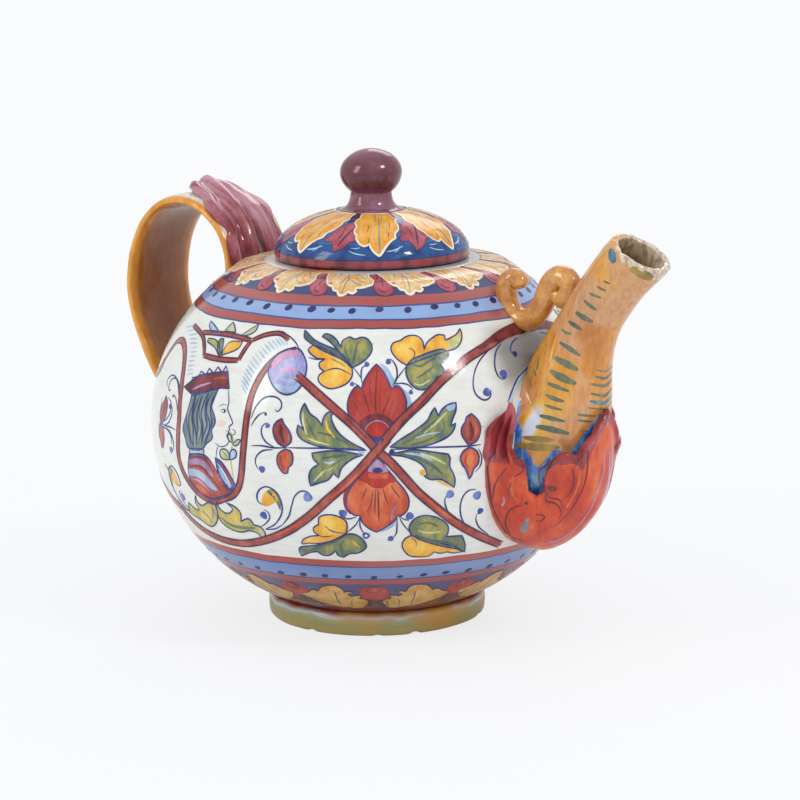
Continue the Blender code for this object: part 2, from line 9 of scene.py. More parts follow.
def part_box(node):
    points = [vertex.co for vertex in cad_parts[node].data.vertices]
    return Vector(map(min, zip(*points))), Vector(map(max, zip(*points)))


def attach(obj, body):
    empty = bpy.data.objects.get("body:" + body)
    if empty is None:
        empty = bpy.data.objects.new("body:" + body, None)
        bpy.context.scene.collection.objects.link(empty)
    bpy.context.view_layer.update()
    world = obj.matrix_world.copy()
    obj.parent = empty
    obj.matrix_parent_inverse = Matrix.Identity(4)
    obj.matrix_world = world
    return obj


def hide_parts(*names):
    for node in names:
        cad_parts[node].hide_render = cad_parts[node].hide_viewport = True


# Lustreware teapot: tin-glazed earthenware painted by hand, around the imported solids.
# Metres. The spout points along +X, and the camera looks at the -Y side.

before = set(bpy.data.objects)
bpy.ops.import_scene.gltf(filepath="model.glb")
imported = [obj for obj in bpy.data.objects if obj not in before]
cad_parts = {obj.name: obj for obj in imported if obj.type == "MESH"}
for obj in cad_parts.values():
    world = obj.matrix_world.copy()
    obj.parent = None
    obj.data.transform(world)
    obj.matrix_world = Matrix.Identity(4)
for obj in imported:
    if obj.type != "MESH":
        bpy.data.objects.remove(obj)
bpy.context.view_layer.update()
lidLow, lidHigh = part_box("lid_dome")
for stray in ("Cube", "Light", "Camera"):
    if stray in bpy.data.objects:
        bpy.data.objects.remove(bpy.data.objects[stray], do_unlink=True)
potX = (lidLow.x + lidHigh.x) / 2        # the pot's own upright axis
print("stage: frame loaded, pot axis at", round(potX, 5))


def fromHex(code):
    shares = [int(code[i:i + 2], 16) / 255 for i in (1, 3, 5)]
    return [c / 12.92 if c <= 0.04045 else ((c + 0.055) / 1.055) ** 2.4 for c in shares] + [1]


def addNode(material, kind, values=None, wires=None, **settings):
    node = material.node_tree.nodes.new("ShaderNode" + kind)
    for name, value in settings.items():
        setattr(node, name, value)
    for name, value in (values or {}).items():
        node.inputs[name].default_value = value
    for name, source in (wires or {}).items():
        # a node given here stands for its first output
        material.node_tree.links.new(getattr(source, "outputs", [source])[0], node.inputs[name])
    return node


def fillRamp(ramp, stops, constant=False):
    colours = ramp.color_ramp
    colours.interpolation = "CONSTANT" if constant else "LINEAR"
    while len(colours.elements) < len(stops):
        colours.elements.new(0.5)
    for element, (place, code) in zip(colours.elements, sorted(stops)):
        element.position = place
        element.color = fromHex(code)


def newMaterial(name):
    material = bpy.data.materials.new(name)
    material.use_nodes = True
    material.node_tree.nodes.clear()
    return material


def glaze(name, stops, roughness=0.14, patch=9.0, streak=1.6, swing=0.5, tone=0.0, grain=0.05, metallic=0.0,
          brush=(1, 1, 1), film=0.0, colour=None):
    # fired glaze: pooled colour over `patch` mm, brush marks over `streak` mm drawn out along the low side of
    # `brush`, a slightly uneven gloss, and for lustres a metal film about `film` nanometres thin
    material = newMaterial(name)
    place = addNode(material, "TexCoord").outputs["Object"]
    drawn = addNode(material, "Mapping", {"Scale": brush}, {"Vector": place}).outputs["Vector"]
    pools = addNode(material, "TexNoise", {"Scale": 1000 / patch, "Detail": 2.0, "Roughness": 0.4},
                    {"Vector": drawn})
    marks = addNode(material, "TexNoise", {"Scale": 1000 / streak, "Detail": 3.0, "Roughness": 0.6},
                    {"Vector": drawn})
    if colour is None:
        both = addNode(material, "Math", {1: 0.62}, {0: pools}, operation="MULTIPLY")
        both = addNode(material, "Math", {1: 0.38}, {0: marks, 2: both},
                       operation="MULTIPLY_ADD")
        half = 0.16 / swing
        spread = addNode(material, "MapRange", {"From Min": 0.5 - half, "From Max": 0.5 + half},
                         {"Value": both})
        value = spread
        if tone:
            mark = addNode(material, "Attribute", attribute_name="tone").outputs["Fac"]
            shifted = addNode(material, "MixRGB", {"Fac": tone}, {"Color1": value, "Color2": mark})
            value = shifted
        ramp = addNode(material, "ValToRGB", wires={"Fac": value})
        fillRamp(ramp, stops)
        colour = ramp
    else:
        colour = colour(material, place, pools, marks)
    gloss = addNode(material, "MapRange", {"From Min": 0.35, "From Max": 0.65, "To Min": roughness * 0.75,
                                           "To Max": roughness * 1.35}, {"Value": pools})
    skin = addNode(material, "TexNoise", {"Scale": 1000 / 3.5, "Detail": 2.0}, {"Vector": place})
    bump = addNode(material, "Bump", {"Strength": grain * 4, "Distance": 0.0003}, {"Height": skin})
    shader = addNode(material, "BsdfPrincipled", {"IOR": 1.5, "Metallic": metallic},
                     {"Base Color": colour, "Roughness": gloss, "Normal": bump})
    if film:
        # the reduced metal film: its thickness wanders, so highlights run from bluish to yellowish
        drift = addNode(material, "TexNoise", {"Scale": 1000 / 11, "Detail": 1.0}, {"Vector": place})
        thin = addNode(material, "MapRange", {"From Min": 0.32, "From Max": 0.68, "To Min": film * 0.55,
                                              "To Max": film * 1.45}, {"Value": drift})
        shader.inputs["Thin Film IOR"].default_value = 1.62
        material.node_tree.links.new(thin.outputs[0], shader.inputs["Thin Film Thickness"])
    addNode(material, "OutputMaterial", wires={"Surface": shader})
    return material


# body: two half-ellipses that meet at the belly, a flatter ground round the mouth
pot = {"bellyRadius": 0.0800, "bellyHeight": 0.0717, "lowerRise": 0.0713, "upperRise": 0.0691,
       "wall": 0.0050, "floor": 0.0055, "baseRadius": 0.0370, "baseHeight": 0.0085,
       "collarRadius": 0.0385, "breakRadius": 0.0480, "collarRise": 0.0016, "sides": 192}


def arcTable(points):
    # arc length, radius, height and outward direction along a turned outline
    rows, run = [], 0.0
    for i, (radius, height) in enumerate(points):
        before, after = points[max(i - 1, 0)], points[min(i + 1, len(points) - 1)]
        if i:
            run += math.dist(points[i - 1], points[i])
        along = Vector((after[0] - before[0], after[1] - before[1])).normalized()
        rows.append((run, radius, height, along.y, -along.x))
    return rows


def bodyOutline(steps=90):
    top = math.acos(pot["breakRadius"] / pot["bellyRadius"])
    bottom = -math.acos(pot["baseRadius"] / pot["bellyRadius"])
    points = []
    for i in range(steps + 1):
        angle = bottom + (top - bottom) * i / steps
        rise = pot["lowerRise"] if angle < 0 else pot["upperRise"]
        points.append((pot["bellyRadius"] * math.cos(angle), pot["bellyHeight"] + rise * math.sin(angle)))
    start = points[-1]
    for share in (0.25, 0.5, 0.75, 1):
        points.append((start[0] + (pot["collarRadius"] - start[0]) * share,
                       start[1] + pot["collarRise"] * (1 - (1 - share) ** 1.4)))
    return points
bodyTrack = arcTable(bodyOutline())
bellyArc = min(bodyTrack, key=lambda row: abs(row[2] - pot["bellyHeight"]))[0]
bodyTrack = [(row[0] - bellyArc, *row[1:]) for row in bodyTrack]


def onTrack(track, arc):
    low, high = 0, len(track) - 1
    arc = min(max(arc, track[0][0]), track[-1][0])
    while high - low > 1:
        middle = (low + high) // 2
        low, high = (middle, high) if track[middle][0] <= arc else (low, middle)
    share = (arc - track[low][0]) / max(track[high][0] - track[low][0], 1e-9)
    return [a + (b - a) * share for a, b in zip(track[low][1:], track[high][1:])]


def turnedPoint(track, angle, arc, lift):
    radius, height, out, up = onTrack(track, arc)
    reach = radius + out * lift
    return Vector((potX + reach * math.cos(angle), reach * math.sin(angle), height + up * lift))


def select(piece):
    bpy.ops.object.select_all(action="DESELECT")
    piece.select_set(True)
    bpy.context.view_layer.objects.active = piece


def closeUp(piece, threshold=1e-6, fill=True):
    select(piece)
    bpy.ops.object.mode_set(mode="EDIT")
    bpy.ops.mesh.select_all(action="SELECT")
    bpy.ops.mesh.remove_doubles(threshold=threshold)
    if fill:
        bpy.ops.mesh.fill_holes(sides=0)
    bpy.ops.mesh.select_all(action="SELECT")
    bpy.ops.mesh.normals_make_consistent(inside=False)
    bpy.ops.object.mode_set(mode="OBJECT")


def turn(name, outline, sides, middle=None, closed=False):
    # a circle drawn out ring by ring to the (radius, height) outline
    x = potX if middle is None else middle
    bpy.ops.object.select_all(action="DESELECT")
    radius, height = outline[0]
    bpy.ops.mesh.primitive_circle_add(vertices=sides, radius=radius, location=(x, 0, height))
    piece = bpy.context.object
    piece.name = name
    bpy.ops.object.transform_apply(location=True, rotation=True, scale=True)
    bpy.ops.object.mode_set(mode="EDIT")
    bpy.ops.mesh.select_all(action="SELECT")
    for (near, low), (far, high) in zip(outline, outline[1:]):
        bpy.ops.mesh.extrude_edges_move(TRANSFORM_OT_translate={"value": (0, 0, high - low)})
        bpy.ops.transform.resize(value=(far / near, far / near, 1), center_override=(x, 0, high))
    if closed:
        bpy.ops.mesh.select_all(action="DESELECT")
        bpy.ops.mesh.select_mode(type="EDGE")
        bpy.ops.mesh.select_non_manifold()
        bpy.ops.mesh.bridge_edge_loops()
    bpy.ops.object.mode_set(mode="OBJECT")
    closeUp(piece, fill=not closed)
    return piece


def laidGrid(name, across, along, place):
    # a grid laid over a shape: place(share across, share along); edges that meet are welded
    bpy.ops.object.select_all(action="DESELECT")
    bpy.ops.mesh.primitive_grid_add(x_subdivisions=across, y_subdivisions=along, size=1, location=(0, 0, 0))
    piece = bpy.context.object
    piece.name = name
    for point in piece.data.vertices:
        point.co = place(point.co.x + 0.5, point.co.y + 0.5)
    closeUp(piece, fill=False)
    return piece


def combine(piece, tool, operation="DIFFERENCE", keepTool=False):
    change = piece.modifiers.new(operation.lower(), "BOOLEAN")
    change.operation = operation
    change.object = tool
    change.solver = "EXACT"
    select(piece)
    bpy.ops.object.modifier_apply(modifier=change.name)
    if not keepTool:
        bpy.data.objects.remove(tool, do_unlink=True)


def settle(piece, material, body, replaced=(), angle=40):
    select(piece)
    bpy.ops.object.transform_apply(location=True, rotation=True, scale=True)
    bpy.ops.object.shade_smooth_by_angle(angle=math.radians(angle))
    piece.data.materials.clear()
    piece.data.materials.append(material)
    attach(piece, body)
    for node in replaced:
        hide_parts(node)
    return piece


def toned(piece, value, name="tone"):
    # one number per point, read by the glaze as "tone"
    tone = piece.data.attributes.new(name, "FLOAT", "POINT")
    tone.data.foreach_set("value", [value(point.co) for point in piece.data.vertices])


def smoothStep(share):
    share = min(max(share, 0), 1)
    return share * share * (3 - 2 * share)


def waver(place, size, seed=0.0):
    # hand-made unevenness, about -1 to 1, over `size` metres
    return noise.noise(Vector(place) / size + Vector((seed, seed * 0.7, -seed)))


# the body
def makeBody():
    outline = bodyOutline(72)
    inner, count = [], 40
    floor = pot["baseHeight"] + pot["floor"]
    low = -math.asin((pot["bellyHeight"] - floor) / (pot["lowerRise"] - pot["wall"]))
    high = math.acos(pot["breakRadius"] / pot["bellyRadius"])
    for i in range(count + 1):
        angle = high + (low - high) * i / count
        rise = (pot["lowerRise"] if angle < 0 else pot["upperRise"]) - pot["wall"]
        inner.append(((pot["bellyRadius"] - pot["wall"]) * math.cos(angle),
                      pot["bellyHeight"] + rise * math.sin(angle)))
    lip = [(pot["collarRadius"], outline[-1][1] - 0.003)]
    pole = 0.0004
    base = [(pole, pot["baseHeight"]), (0.018, pot["baseHeight"])]
    outline = base + outline + lip + inner + [(pole, floor)]
    return turn("potBody", outline, pot["sides"])


# paint bands round the body, millimetres of height: where each colour starts
bands = [(0.0, "#8a423a"), (10.4, "#5a2a30"), (10.9, "#74332f"), (16.5, "#4a4a78"), (23.9, "#34305c"),
         (24.3, "#a34a48"), (26.2, "#34407e"), (26.6, "#6f8cc4"), (31.6, "#34407e"), (32.0, "#ab4d45"),
         (34.6, "#34407e"), (35.0, "#e8eae6"), (113.4, "#3b4579"), (113.8, "#a94b44"), (115.9, "#3b4a8c"),
         (116.3, "#8cabdd"), (120.2, "#4a4a80"), (120.6, "#a8504c"), (122.9, "#6a2c3e"), (123.2, "#2f3a74"),
         (125.6, "#a2555c")]


def bandPaint(material, place, pools, marks):
    height = addNode(material, "SeparateXYZ", wires={"Vector": place}).outputs["Z"]
    sway = addNode(material, "TexNoise", {"Scale": 1000 / 16, "Detail": 2.0}, {"Vector": place})
    shift = addNode(material, "Math", {1: 0.0012, 2: -0.0006}, {0: sway}, operation="MULTIPLY_ADD")
    moved = addNode(material, "Math", wires={0: height, 1: shift}, operation="ADD")
    share = addNode(material, "Math", {1: 1 / 0.130}, {0: moved}, operation="MULTIPLY")
    ramp = addNode(material, "ValToRGB", wires={"Fac": share})
    fillRamp(ramp, [(at / 130, code) for at, code in bands], constant=True)
    # wheel-drawn strokes, thin and pale in places
    brush = addNode(material, "ValToRGB", wires={"Fac": marks})
    fillRamp(brush, [(0.34, "#ece9ea"), (0.5, "#f8f8f8"), (0.64, "#ffffff")])
    brushed = addNode(material, "MixRGB", {"Fac": 0.55},
                      {"Color1": ramp, "Color2": brush}, blend_type="MULTIPLY")
    thin = addNode(material, "ValToRGB", wires={"Fac": pools})
    fillRamp(thin, [(0.42, "#000000"), (0.66, "#5a5a5a")])
    painted = addNode(material, "MixRGB", {"Color2": fromHex("#e3e6e4")}, {"Fac": thin, "Color1": brushed})
    # a faint warm stain in the white and a few iron specks burnt through it
    speck = addNode(material, "TexVoronoi", {"Scale": 1000 / 9}, {"Vector": place})
    iron = addNode(material, "ValToRGB", wires={"Fac": speck})
    fillRamp(iron, [(0.035, "#a08f80"), (0.06, "#ffffff")])
    stained = addNode(material, "MixRGB", {"Fac": 0.6},
                      {"Color1": painted, "Color2": iron}, blend_type="MULTIPLY")
    # painted shade: grey darkening in the corner over the spout's root, where the glaze also pooled
    mark = addNode(material, "Attribute", attribute_name="tone").outputs["Fac"]
    pooledAndShaded = addNode(material, "MixRGB", {"Color2": fromHex("#8b8d92")},
                     {"Fac": mark, "Color1": stained}, blend_type="MULTIPLY")
    return pooledAndShaded


# white tin glaze, soft and even, a little grey where it lies thin; stripes brushed over it on the wheel
tinGlaze = glaze("tinGlazedEarthenware", [], roughness=0.12, patch=16, streak=2.4, grain=0.04,
                 brush=(0.3, 0.3, 1.2), colour=bandPaint)
potBody = makeBody()


poolAndShade = {"inset": 0.0068, "core": 0.0150, "reach": 0.0120, "low": 0.014, "rising": 0.012, "high": 0.044,
         "falling": 0.010, "most": 0.9}


def cornerPoolAndShade(place):
    # painted shade with pooled glaze, strongest nearest the bulb, between its shoulder and the coil above it
    off = math.hypot(place.x - potX - pot["bellyRadius"] + poolAndShade["inset"], place.y) - poolAndShade["core"]
    rise = place.z - pot["bellyHeight"]
    near = smoothStep((poolAndShade["reach"] - off) / poolAndShade["reach"])
    above = smoothStep((rise - poolAndShade["low"]) / poolAndShade["rising"])
    below = smoothStep((poolAndShade["high"] - rise) / poolAndShade["falling"])
    return poolAndShade["most"] * near * above * below


# the painted shade and pooled glaze in the corner over the spout's root, carried as the body's tone
toned(potBody, cornerPoolAndShade)
settle(potBody, tinGlaze, "pot", ["body_shell"])
print("stage: body turned", len(potBody.data.polygons))


# the foot ring; the outline runs round its section, (radius, height)
foot = {"chips": 0.00288, "chipTop": 0.0035, "chipFrom": 0.0370, "unevenness": 0.00022,
        "outline": [(0.0321, 0.0084), (0.0372, 0.0084), (0.0381, 0.0082), (0.0389, 0.0074), (0.0391, 0.0058),
                    (0.0392, 0.0042), (0.0391, 0.0028), (0.0390, 0.0018), (0.0388, 0.0009), (0.0383, 0.0003),
                    (0.0376, 0.0), (0.0352, 0.0), (0.0334, 0.0), (0.0327, 0.0004), (0.0322, 0.0012),
                    (0.0321, 0.0040)]}
footRing = turn("footRing", foot["outline"], 240, closed=True)
for point in footRing.data.vertices:
    bite = max(waver((point.co.x, point.co.y, 0), 0.0055, 3.0) - 0.28, 0)
    if point.co.z < foot["chipTop"] and math.hypot(point.co.x - potX, point.co.y) > foot["chipFrom"]:
        point.co.z += foot["chips"] * bite * (1 - point.co.z / foot["chipTop"])
    out = Vector((point.co.x - potX, point.co.y, 0)).normalized()
    point.co += out * foot["unevenness"] * waver(point.co, 0.012, 1.0)


def footPaint(material, place, pools, marks):
    height = addNode(material, "SeparateXYZ", wires={"Vector": place}).outputs["Z"]
    sway = addNode(material, "Math", {1: 0.0034}, {0: pools, 2: height}, operation="MULTIPLY_ADD")
    share = addNode(material, "Math", {1: 1 / 0.012}, {0: sway}, operation="MULTIPLY")
    ramp = addNode(material, "ValToRGB", wires={"Fac": share})
    # the pale blue-grey step near the top is a painted reflection round the foot; the reds above it are the
    # painted band
    fillRamp(ramp, [(0.0, "#d9c4a4"), (0.14, "#c4a268"), (0.22, "#ada165"), (0.45, "#9f9a64"),
                    (0.62, "#a5a67e"), (0.7, "#bccbce"), (0.77, "#b0948a"), (0.83, "#a35a52"),
                    (0.95, "#9a4c46")])
    warm = addNode(material, "TexNoise", {"Scale": 1000 / 26, "Detail": 2.0}, {"Vector": place})
    where = addNode(material, "ValToRGB", wires={"Fac": warm})
    fillRamp(where, [(0.52, "#000000"), (0.66, "#ffffff")])
    mixed = addNode(material, "MixRGB", {"Color2": fromHex("#c99442")}, {"Fac": where, "Color1": ramp})
    return mixed


# thin olive and ochre glaze pooled over the turned foot, worn to pale clay where it stands, with a painted
# pale blue-grey reflection round its top
oliveGlaze = glaze("oliveFootGlaze", [], roughness=0.13, patch=8, streak=1.2, grain=0.08, colour=footPaint)
settle(footRing, oliveGlaze, "pot", ["foot_ring"])


# the gallery ring in the mouth
gallery = [(0.0300, 0.1225), (0.0300, 0.1282), (0.0303, 0.1288), (0.0308, 0.1290), (0.0340, 0.1291),
           (0.0370, 0.1290), (0.0378, 0.1289), (0.0385, 0.1286), (0.0385, 0.1240), (0.0384, 0.1225)]
galleryRing = turn("galleryRing", gallery, 144, closed=True)


def galleryPaint(material, place, pools, marks):
    axis = addNode(material, "Mapping", {"Location": (-potX, 0, 0)}, {"Vector": place})
    parts = addNode(material, "SeparateXYZ", wires={"Vector": axis})
    toward = addNode(material, "Math", {1: gallery[0][0]}, {0: parts.outputs["X"]}, operation="DIVIDE")
    share = addNode(material, "Math", {1: 0.5}, {0: toward}, operation="ADD")
    ramp = addNode(material, "ValToRGB", wires={"Fac": share})
    fillRamp(ramp, [(0.1, "#d8d4cc"), (0.35, "#b08c88"), (0.6, "#b0685c"), (0.78, "#c9a06a"),
                    (0.95, "#b3b6bb")])
    return ramp


# thinly glazed ledge: ochre toward the spout, bare greyish slip toward the handle
ledgeGlaze = glaze("ochreLedgeGlaze", [], roughness=0.2, colour=galleryPaint)
settle(galleryRing, ledgeGlaze, "pot", ["gallery_ring"])


# the lid
lid = {"radius": 0.0347, "foot": 0.1293, "rim": 0.0017, "dome": 0.0162, "hollow": 0.0242, "wall": 0.0042,
       "knobSeat": 0.0126, "sides": 160}
lidTop = lid["foot"] + lid["rim"] + lid["dome"] * math.sqrt(1 - (lid["knobSeat"] / lid["radius"]) ** 2)


def domeOutline(steps):
    points = [(lid["radius"] - 0.0006, lid["foot"] + 0.0002), (lid["radius"] - 0.0001, lid["foot"] + 0.0007),
              (lid["radius"], lid["foot"] + 0.0013)]
    top = math.acos(lid["knobSeat"] / lid["radius"])
    for i in range(steps + 1):
        angle = top * i / steps
        points.append((lid["radius"] * math.cos(angle),
                       lid["foot"] + lid["rim"] + lid["dome"] * math.sin(angle)))
    return points


lidTrack = arcTable(domeOutline(40))
hollow = [(lid["hollow"] * math.cos(a), lid["foot"] + (lidTop - lid["wall"] - lid["foot"]) * math.sin(a))
          for a in (math.radians(90) * i / 12 for i in range(12))]
dome = [(0.0004, lidTop)] + domeOutline(40)[::-1] + [(0.0336, lid["foot"])] + hollow
dome.append((0.0004, lidTop - lid["wall"]))
lidDome = turn("lidDome", dome, lid["sides"])


def lidPaint(material, place, pools, marks):
    height = addNode(material, "SeparateXYZ", wires={"Vector": place}).outputs["Z"]
    share = addNode(material, "MapRange", {"From Min": lid["foot"], "From Max": lidTop}, {"Value": height})
    ramp = addNode(material, "ValToRGB", wires={"Fac": share})
    fillRamp(ramp, [(0.0, "#6b2f38"), (0.03, "#99464c"), (0.19, "#2c2750"), (0.205, "#21508f"),
                    (0.5, "#2d62a0"), (0.93, "#58303f")], constant=True)
    deep = addNode(material, "ValToRGB", wires={"Fac": pools})
    fillRamp(deep, [(0.35, "#8f93b5"), (0.55, "#ffffff")])
    mixed = addNode(material, "MixRGB", {"Fac": 0.8}, {"Color1": ramp, "Color2": deep}, blend_type="MULTIPLY")
    return mixed


# cobalt ground, deep where it pooled, under a ruby lustre rim
lidGlaze = glaze("cobaltLidGlaze", [], roughness=0.09, patch=5, colour=lidPaint)
settle(lidDome, lidGlaze, "lid", ["lid_dome"])

flange = [(0.0247, 0.1296), (0.0285, 0.1296), (0.0285, 0.1218), (0.0282, 0.1210), (0.0277, 0.1208),
          (0.0250, 0.1208), (0.0247, 0.1212)]
lidFlange = turn("lidFlange", flange, 96, closed=True)
# unglazed biscuit earthenware, chalky and matt, with a few darker grains
bareClay = glaze("biscuitEarthenware", [(0.0, "#b8987c"), (0.5, "#cdb094"), (1.0, "#dcc6ae")], roughness=0.6,
                 patch=5, streak=0.5, grain=0.2)
settle(lidFlange, bareClay, "lid", ["lid_flange"])


# the knob
knob = {"seat": lidTop + 0.0003, "base": 0.0118, "neck": 0.0073, "neckHeight": 0.0062, "radius": 0.0110,
        "half": 0.0087}
under = math.asin(knob["neck"] / knob["radius"])
middle = knob["seat"] + knob["neckHeight"] + knob["half"] * math.cos(under)
outline = [(0.0003, knob["seat"] - 0.0008), (knob["base"] - 0.0008, knob["seat"] - 0.0008),
           (knob["base"], knob["seat"] - 0.0003), (knob["base"] - 0.0002, knob["seat"])]
for i in range(1, 14):
    sweepTurn = math.radians(90) * i / 13
    outline.append((knob["base"] - (knob["base"] - knob["neck"]) * math.sin(sweepTurn),
                    knob["seat"] + (knob["neckHeight"] - 0.0002) * (1 - math.cos(sweepTurn)) ** 1.1))
for i in range(30):
    ball = math.pi - under - (math.pi - under) * (i + 0.2) / 30
    outline.append((max(knob["radius"] * math.sin(ball), 0.0003), middle + knob["half"] * math.cos(ball)))
outline.append((0.0003, middle + knob["half"]))
lidKnob = turn("lidKnob", outline, 96)
for point in lidKnob.data.vertices:
    if point.co.z > knob["seat"] + 0.001:
        out = Vector((point.co.x - potX, point.co.y, 0)).normalized()
        point.co += out * 0.00028 * waver(point.co, 0.007, 5.0)
# ruby lustre: copper-red film, dark and wine-coloured, with a faint metal sheen
rubyLustre = glaze("rubyLustre", [(0.0, "#3f2029"), (0.35, "#64343f"), (0.7, "#835060"), (1.0, "#9f7a8e")],
                   roughness=0.11, patch=8, streak=1.3, swing=0.7, tone=0.55, metallic=0.12)
toned(lidKnob, lambda place: smoothStep((place.z - knob["seat"] - 0.006) / 0.018) * 0.8
      + 0.95 * smoothStep((knob["seat"] + 0.0095 - place.z) / 0.005))
settle(lidKnob, rubyLustre, "lid", ["lid_knob"])
print("stage: foot, gallery and lid turned")


# the spout: pairs are (out, up) from the belly's widest point
spout = {"wall": 0.0034, "reach": 0.0339, "rise": 0.0676, "root": (-0.0085, -0.0204),
         "lowPull": (0.0078, 0.0099), "highPull": (-0.0026, 0.0329), "start": 0.08, "mouthFrom": 0.112,
         "rootRadius": 0.0166, "neckRadius": 0.0103, "lipRadius": 0.0112,
         "lipFacing": 58.8, "lipWaver": 0.0007, "bulbRadius": 0.0221, "bulbInset": 0.0068, "bulbDrop": 0.0290,
         "bulbLift": 0.0318, "sink": 0.0037}
lipFaces = Vector((math.cos(math.radians(spout["lipFacing"])), 0, math.sin(math.radians(spout["lipFacing"]))))


def fromBelly(out, up, side=0.0):
    return Vector((potX + pot["bellyRadius"] + out, side, pot["bellyHeight"] + up))


spoutPulls = [fromBelly(*spout[key]) for key in ("root", "lowPull", "highPull")]
spoutPulls.append(fromBelly(spout["reach"], spout["rise"]))


def spoutFrame(share):
    a, b, c, d = spoutPulls
    rest = 1 - share
    centre = a * rest ** 3 + b * 3 * rest ** 2 * share + c * 3 * rest * share ** 2 + d * share ** 3
    along = ((b - a) * rest ** 2 + (c - b) * 2 * rest * share + (d - c) * share ** 2).normalized()
    ease = smoothStep((share - 0.35) / 0.45)
    radius = (spout["rootRadius"] + (spout["neckRadius"] - spout["rootRadius"]) * ease
              + (spout["lipRadius"] - spout["neckRadius"]) * max((share - 0.88) / 0.12, 0) ** 2)
    return centre, along, radius


def spoutPoint(share, angle, lift=0.0, step=0.0):
    # angle 0 is the spout's outer side, 90 degrees its +Y side; step goes on past the lip
    centre, along, radius = spoutFrame(share)
    out = Vector((along.z, 0, -along.x))
    ring = (out * math.cos(angle) + Vector((0, 1, 0)) * math.sin(angle)) * (radius + lift)
    slant = smoothStep((share - 0.7) / 0.3)
    level = -ring.dot(lipFaces) / along.dot(lipFaces)
    around = (math.cos(angle) * 3, math.sin(angle) * 3, 0)
    uneven = spout["lipWaver"] * smoothStep((share - 0.85) / 0.15) * waver(around, 1.1, 2.0)
    return centre + ring + along * (level * slant + uneven + step)


def spoutSkin(across, fold):
    # up the outer face, over the lip, down the bore, and back out at the foot
    angle = 2 * math.pi * across
    wall, start = spout["wall"], spout["start"]
    nick = max(waver((math.cos(angle) * 3, math.sin(angle) * 3, 1), 0.8, 9.0) - 0.15, 0) * 0.0022
    if fold <= 0.6:
        share = start + (1 - start) * fold / 0.6
        bend = 0.00025 * waver(spoutPoint(share, angle), 0.010, 4.0)
        return spoutPoint(share, angle, bend - 0.0006 * smoothStep((share - 0.97) / 0.03),
                          -nick * smoothStep((share - 0.95) / 0.05))
    if fold <= 0.7:
        turnOver = (fold - 0.6) / 0.1
        lift = -0.0006 - (wall - 0.0010) * (1 - math.cos(math.pi * turnOver)) / 2
        return spoutPoint(1, angle, lift, 0.0008 * math.sin(math.pi * turnOver) - nick * (1 - turnOver))
    if fold < 0.985:
        share = 1 - (1 - start) * (fold - 0.7) / 0.28
        return spoutPoint(max(share, start), angle, -wall + 0.0004 * max(share - 0.9, 0) / 0.1)
    return spoutPoint(start, angle, 0.00025 * waver(spoutPoint(start, angle), 0.010, 4.0))


def ellipsoid(name, grow):
    points = []
    for i in range(33):
        angle = math.radians(-89.2 + 178.4 * i / 32)
        rise = spout["bulbLift"] if angle > 0 else spout["bulbDrop"]
        points.append(((spout["bulbRadius"] + grow) * math.cos(angle),
                       pot["bellyHeight"] - spout["sink"] + (rise + grow) * math.sin(angle)))
    return turn(name, points, 72, middle=potX + pot["bellyRadius"] - spout["bulbInset"])


def bodyPlug(depth):
    # the body's solid, `depth` under its skin, to trim what is luted onto it
    outline = [(radius - depth * out, height - depth * up) for arc, radius, height, out, up in bodyTrack]
    return turn("bodyPlug", [(0.0004, outline[0][1])] + outline + [(0.0004, outline[-1][1])], 96)


spoutTube = laidGrid("spoutTube", 72, 110, spoutSkin)
combine(spoutTube, ellipsoid("bulb", 0), "UNION")


def borePoint(across, along):
    # a plug through the bulb, drawn in to a point at both ends
    share = 0.02 + 0.62 * along
    lift = -spout["wall"] if 0 < along < 1 else -spoutFrame(share)[2]
    return spoutPoint(share, 2 * math.pi * across, lift)


combine(spoutTube, laidGrid("bore", 48, 24, borePoint))
combine(spoutTube, ellipsoid("bulbHollow", -spout["wall"]))
combine(spoutTube, bodyPlug(0.0006))


def spoutInside(place):
    # 0 outside, 0.4 on the chipped lip, up to 1 down the bore, where the clay is painted darker as shade;
    # down to -1 where cobalt pools behind the calyx
    if place.z < spout["mouthFrom"]:
        degrees, rise = roundCalyx(place)
        return -smoothStep((0.0022 - rise + rimHeight(degrees)) / 0.0028)
    along = [(k / 60, (spoutFrame(k / 60)[0] - place).length) for k in range(36, 61)]
    share, off = min(along, key=lambda pair: pair[1])
    deep = (spoutPulls[3] - place).dot(spoutFrame(1)[1])
    inner = off < spoutFrame(share)[2] - spout["wall"] * 0.55
    if inner and deep > 0.0002:
        return 0.4 + 0.6 * smoothStep(deep / 0.012)
    return 0.4 * smoothStep((0.0013 - deep) / 0.0012) if share > 0.97 else 0.0


def onBulb(degrees, rise):
    # a spot on the bulb, by turn round its axis and height over its middle
    radius = spout["bulbRadius"] * math.sqrt(1 - (rise / spout["bulbLift"]) ** 2)
    out = Vector((math.cos(math.radians(degrees)), math.sin(math.radians(degrees)), 0))
    return fromBelly(-spout["bulbInset"], rise - spout["sink"]) + out * radius


# the painted highlights: where each starts and ends on the bulb, how wide it fades and how strong it is
paintedHighlights = [(onBulb(-47, 0.0208), onBulb(-68, 0.0100), 0.0036, 1.0),
          (onBulb(-34, 0.0285), onBulb(-33, 0.0200), 0.0032, 0.38),
          (onBulb(-40, 0.0195), onBulb(-58, 0.0120), 0.0062, 0.38)]


def paintedSpoutHighlight(place):
    strength = 0
    for start, end, reach, most in paintedHighlights:
        along = end - start
        share = min(max((place - start).dot(along) / along.length_squared, 0), 1)
        off = (place - start - along * share).length / reach
        strength = max(strength, most * math.exp(-1.5 * off ** 2))
    return strength


# a painted highlight streak on the bulb, kept per point for the glaze
toned(spoutTube, paintedSpoutHighlight, "paintedSheen")


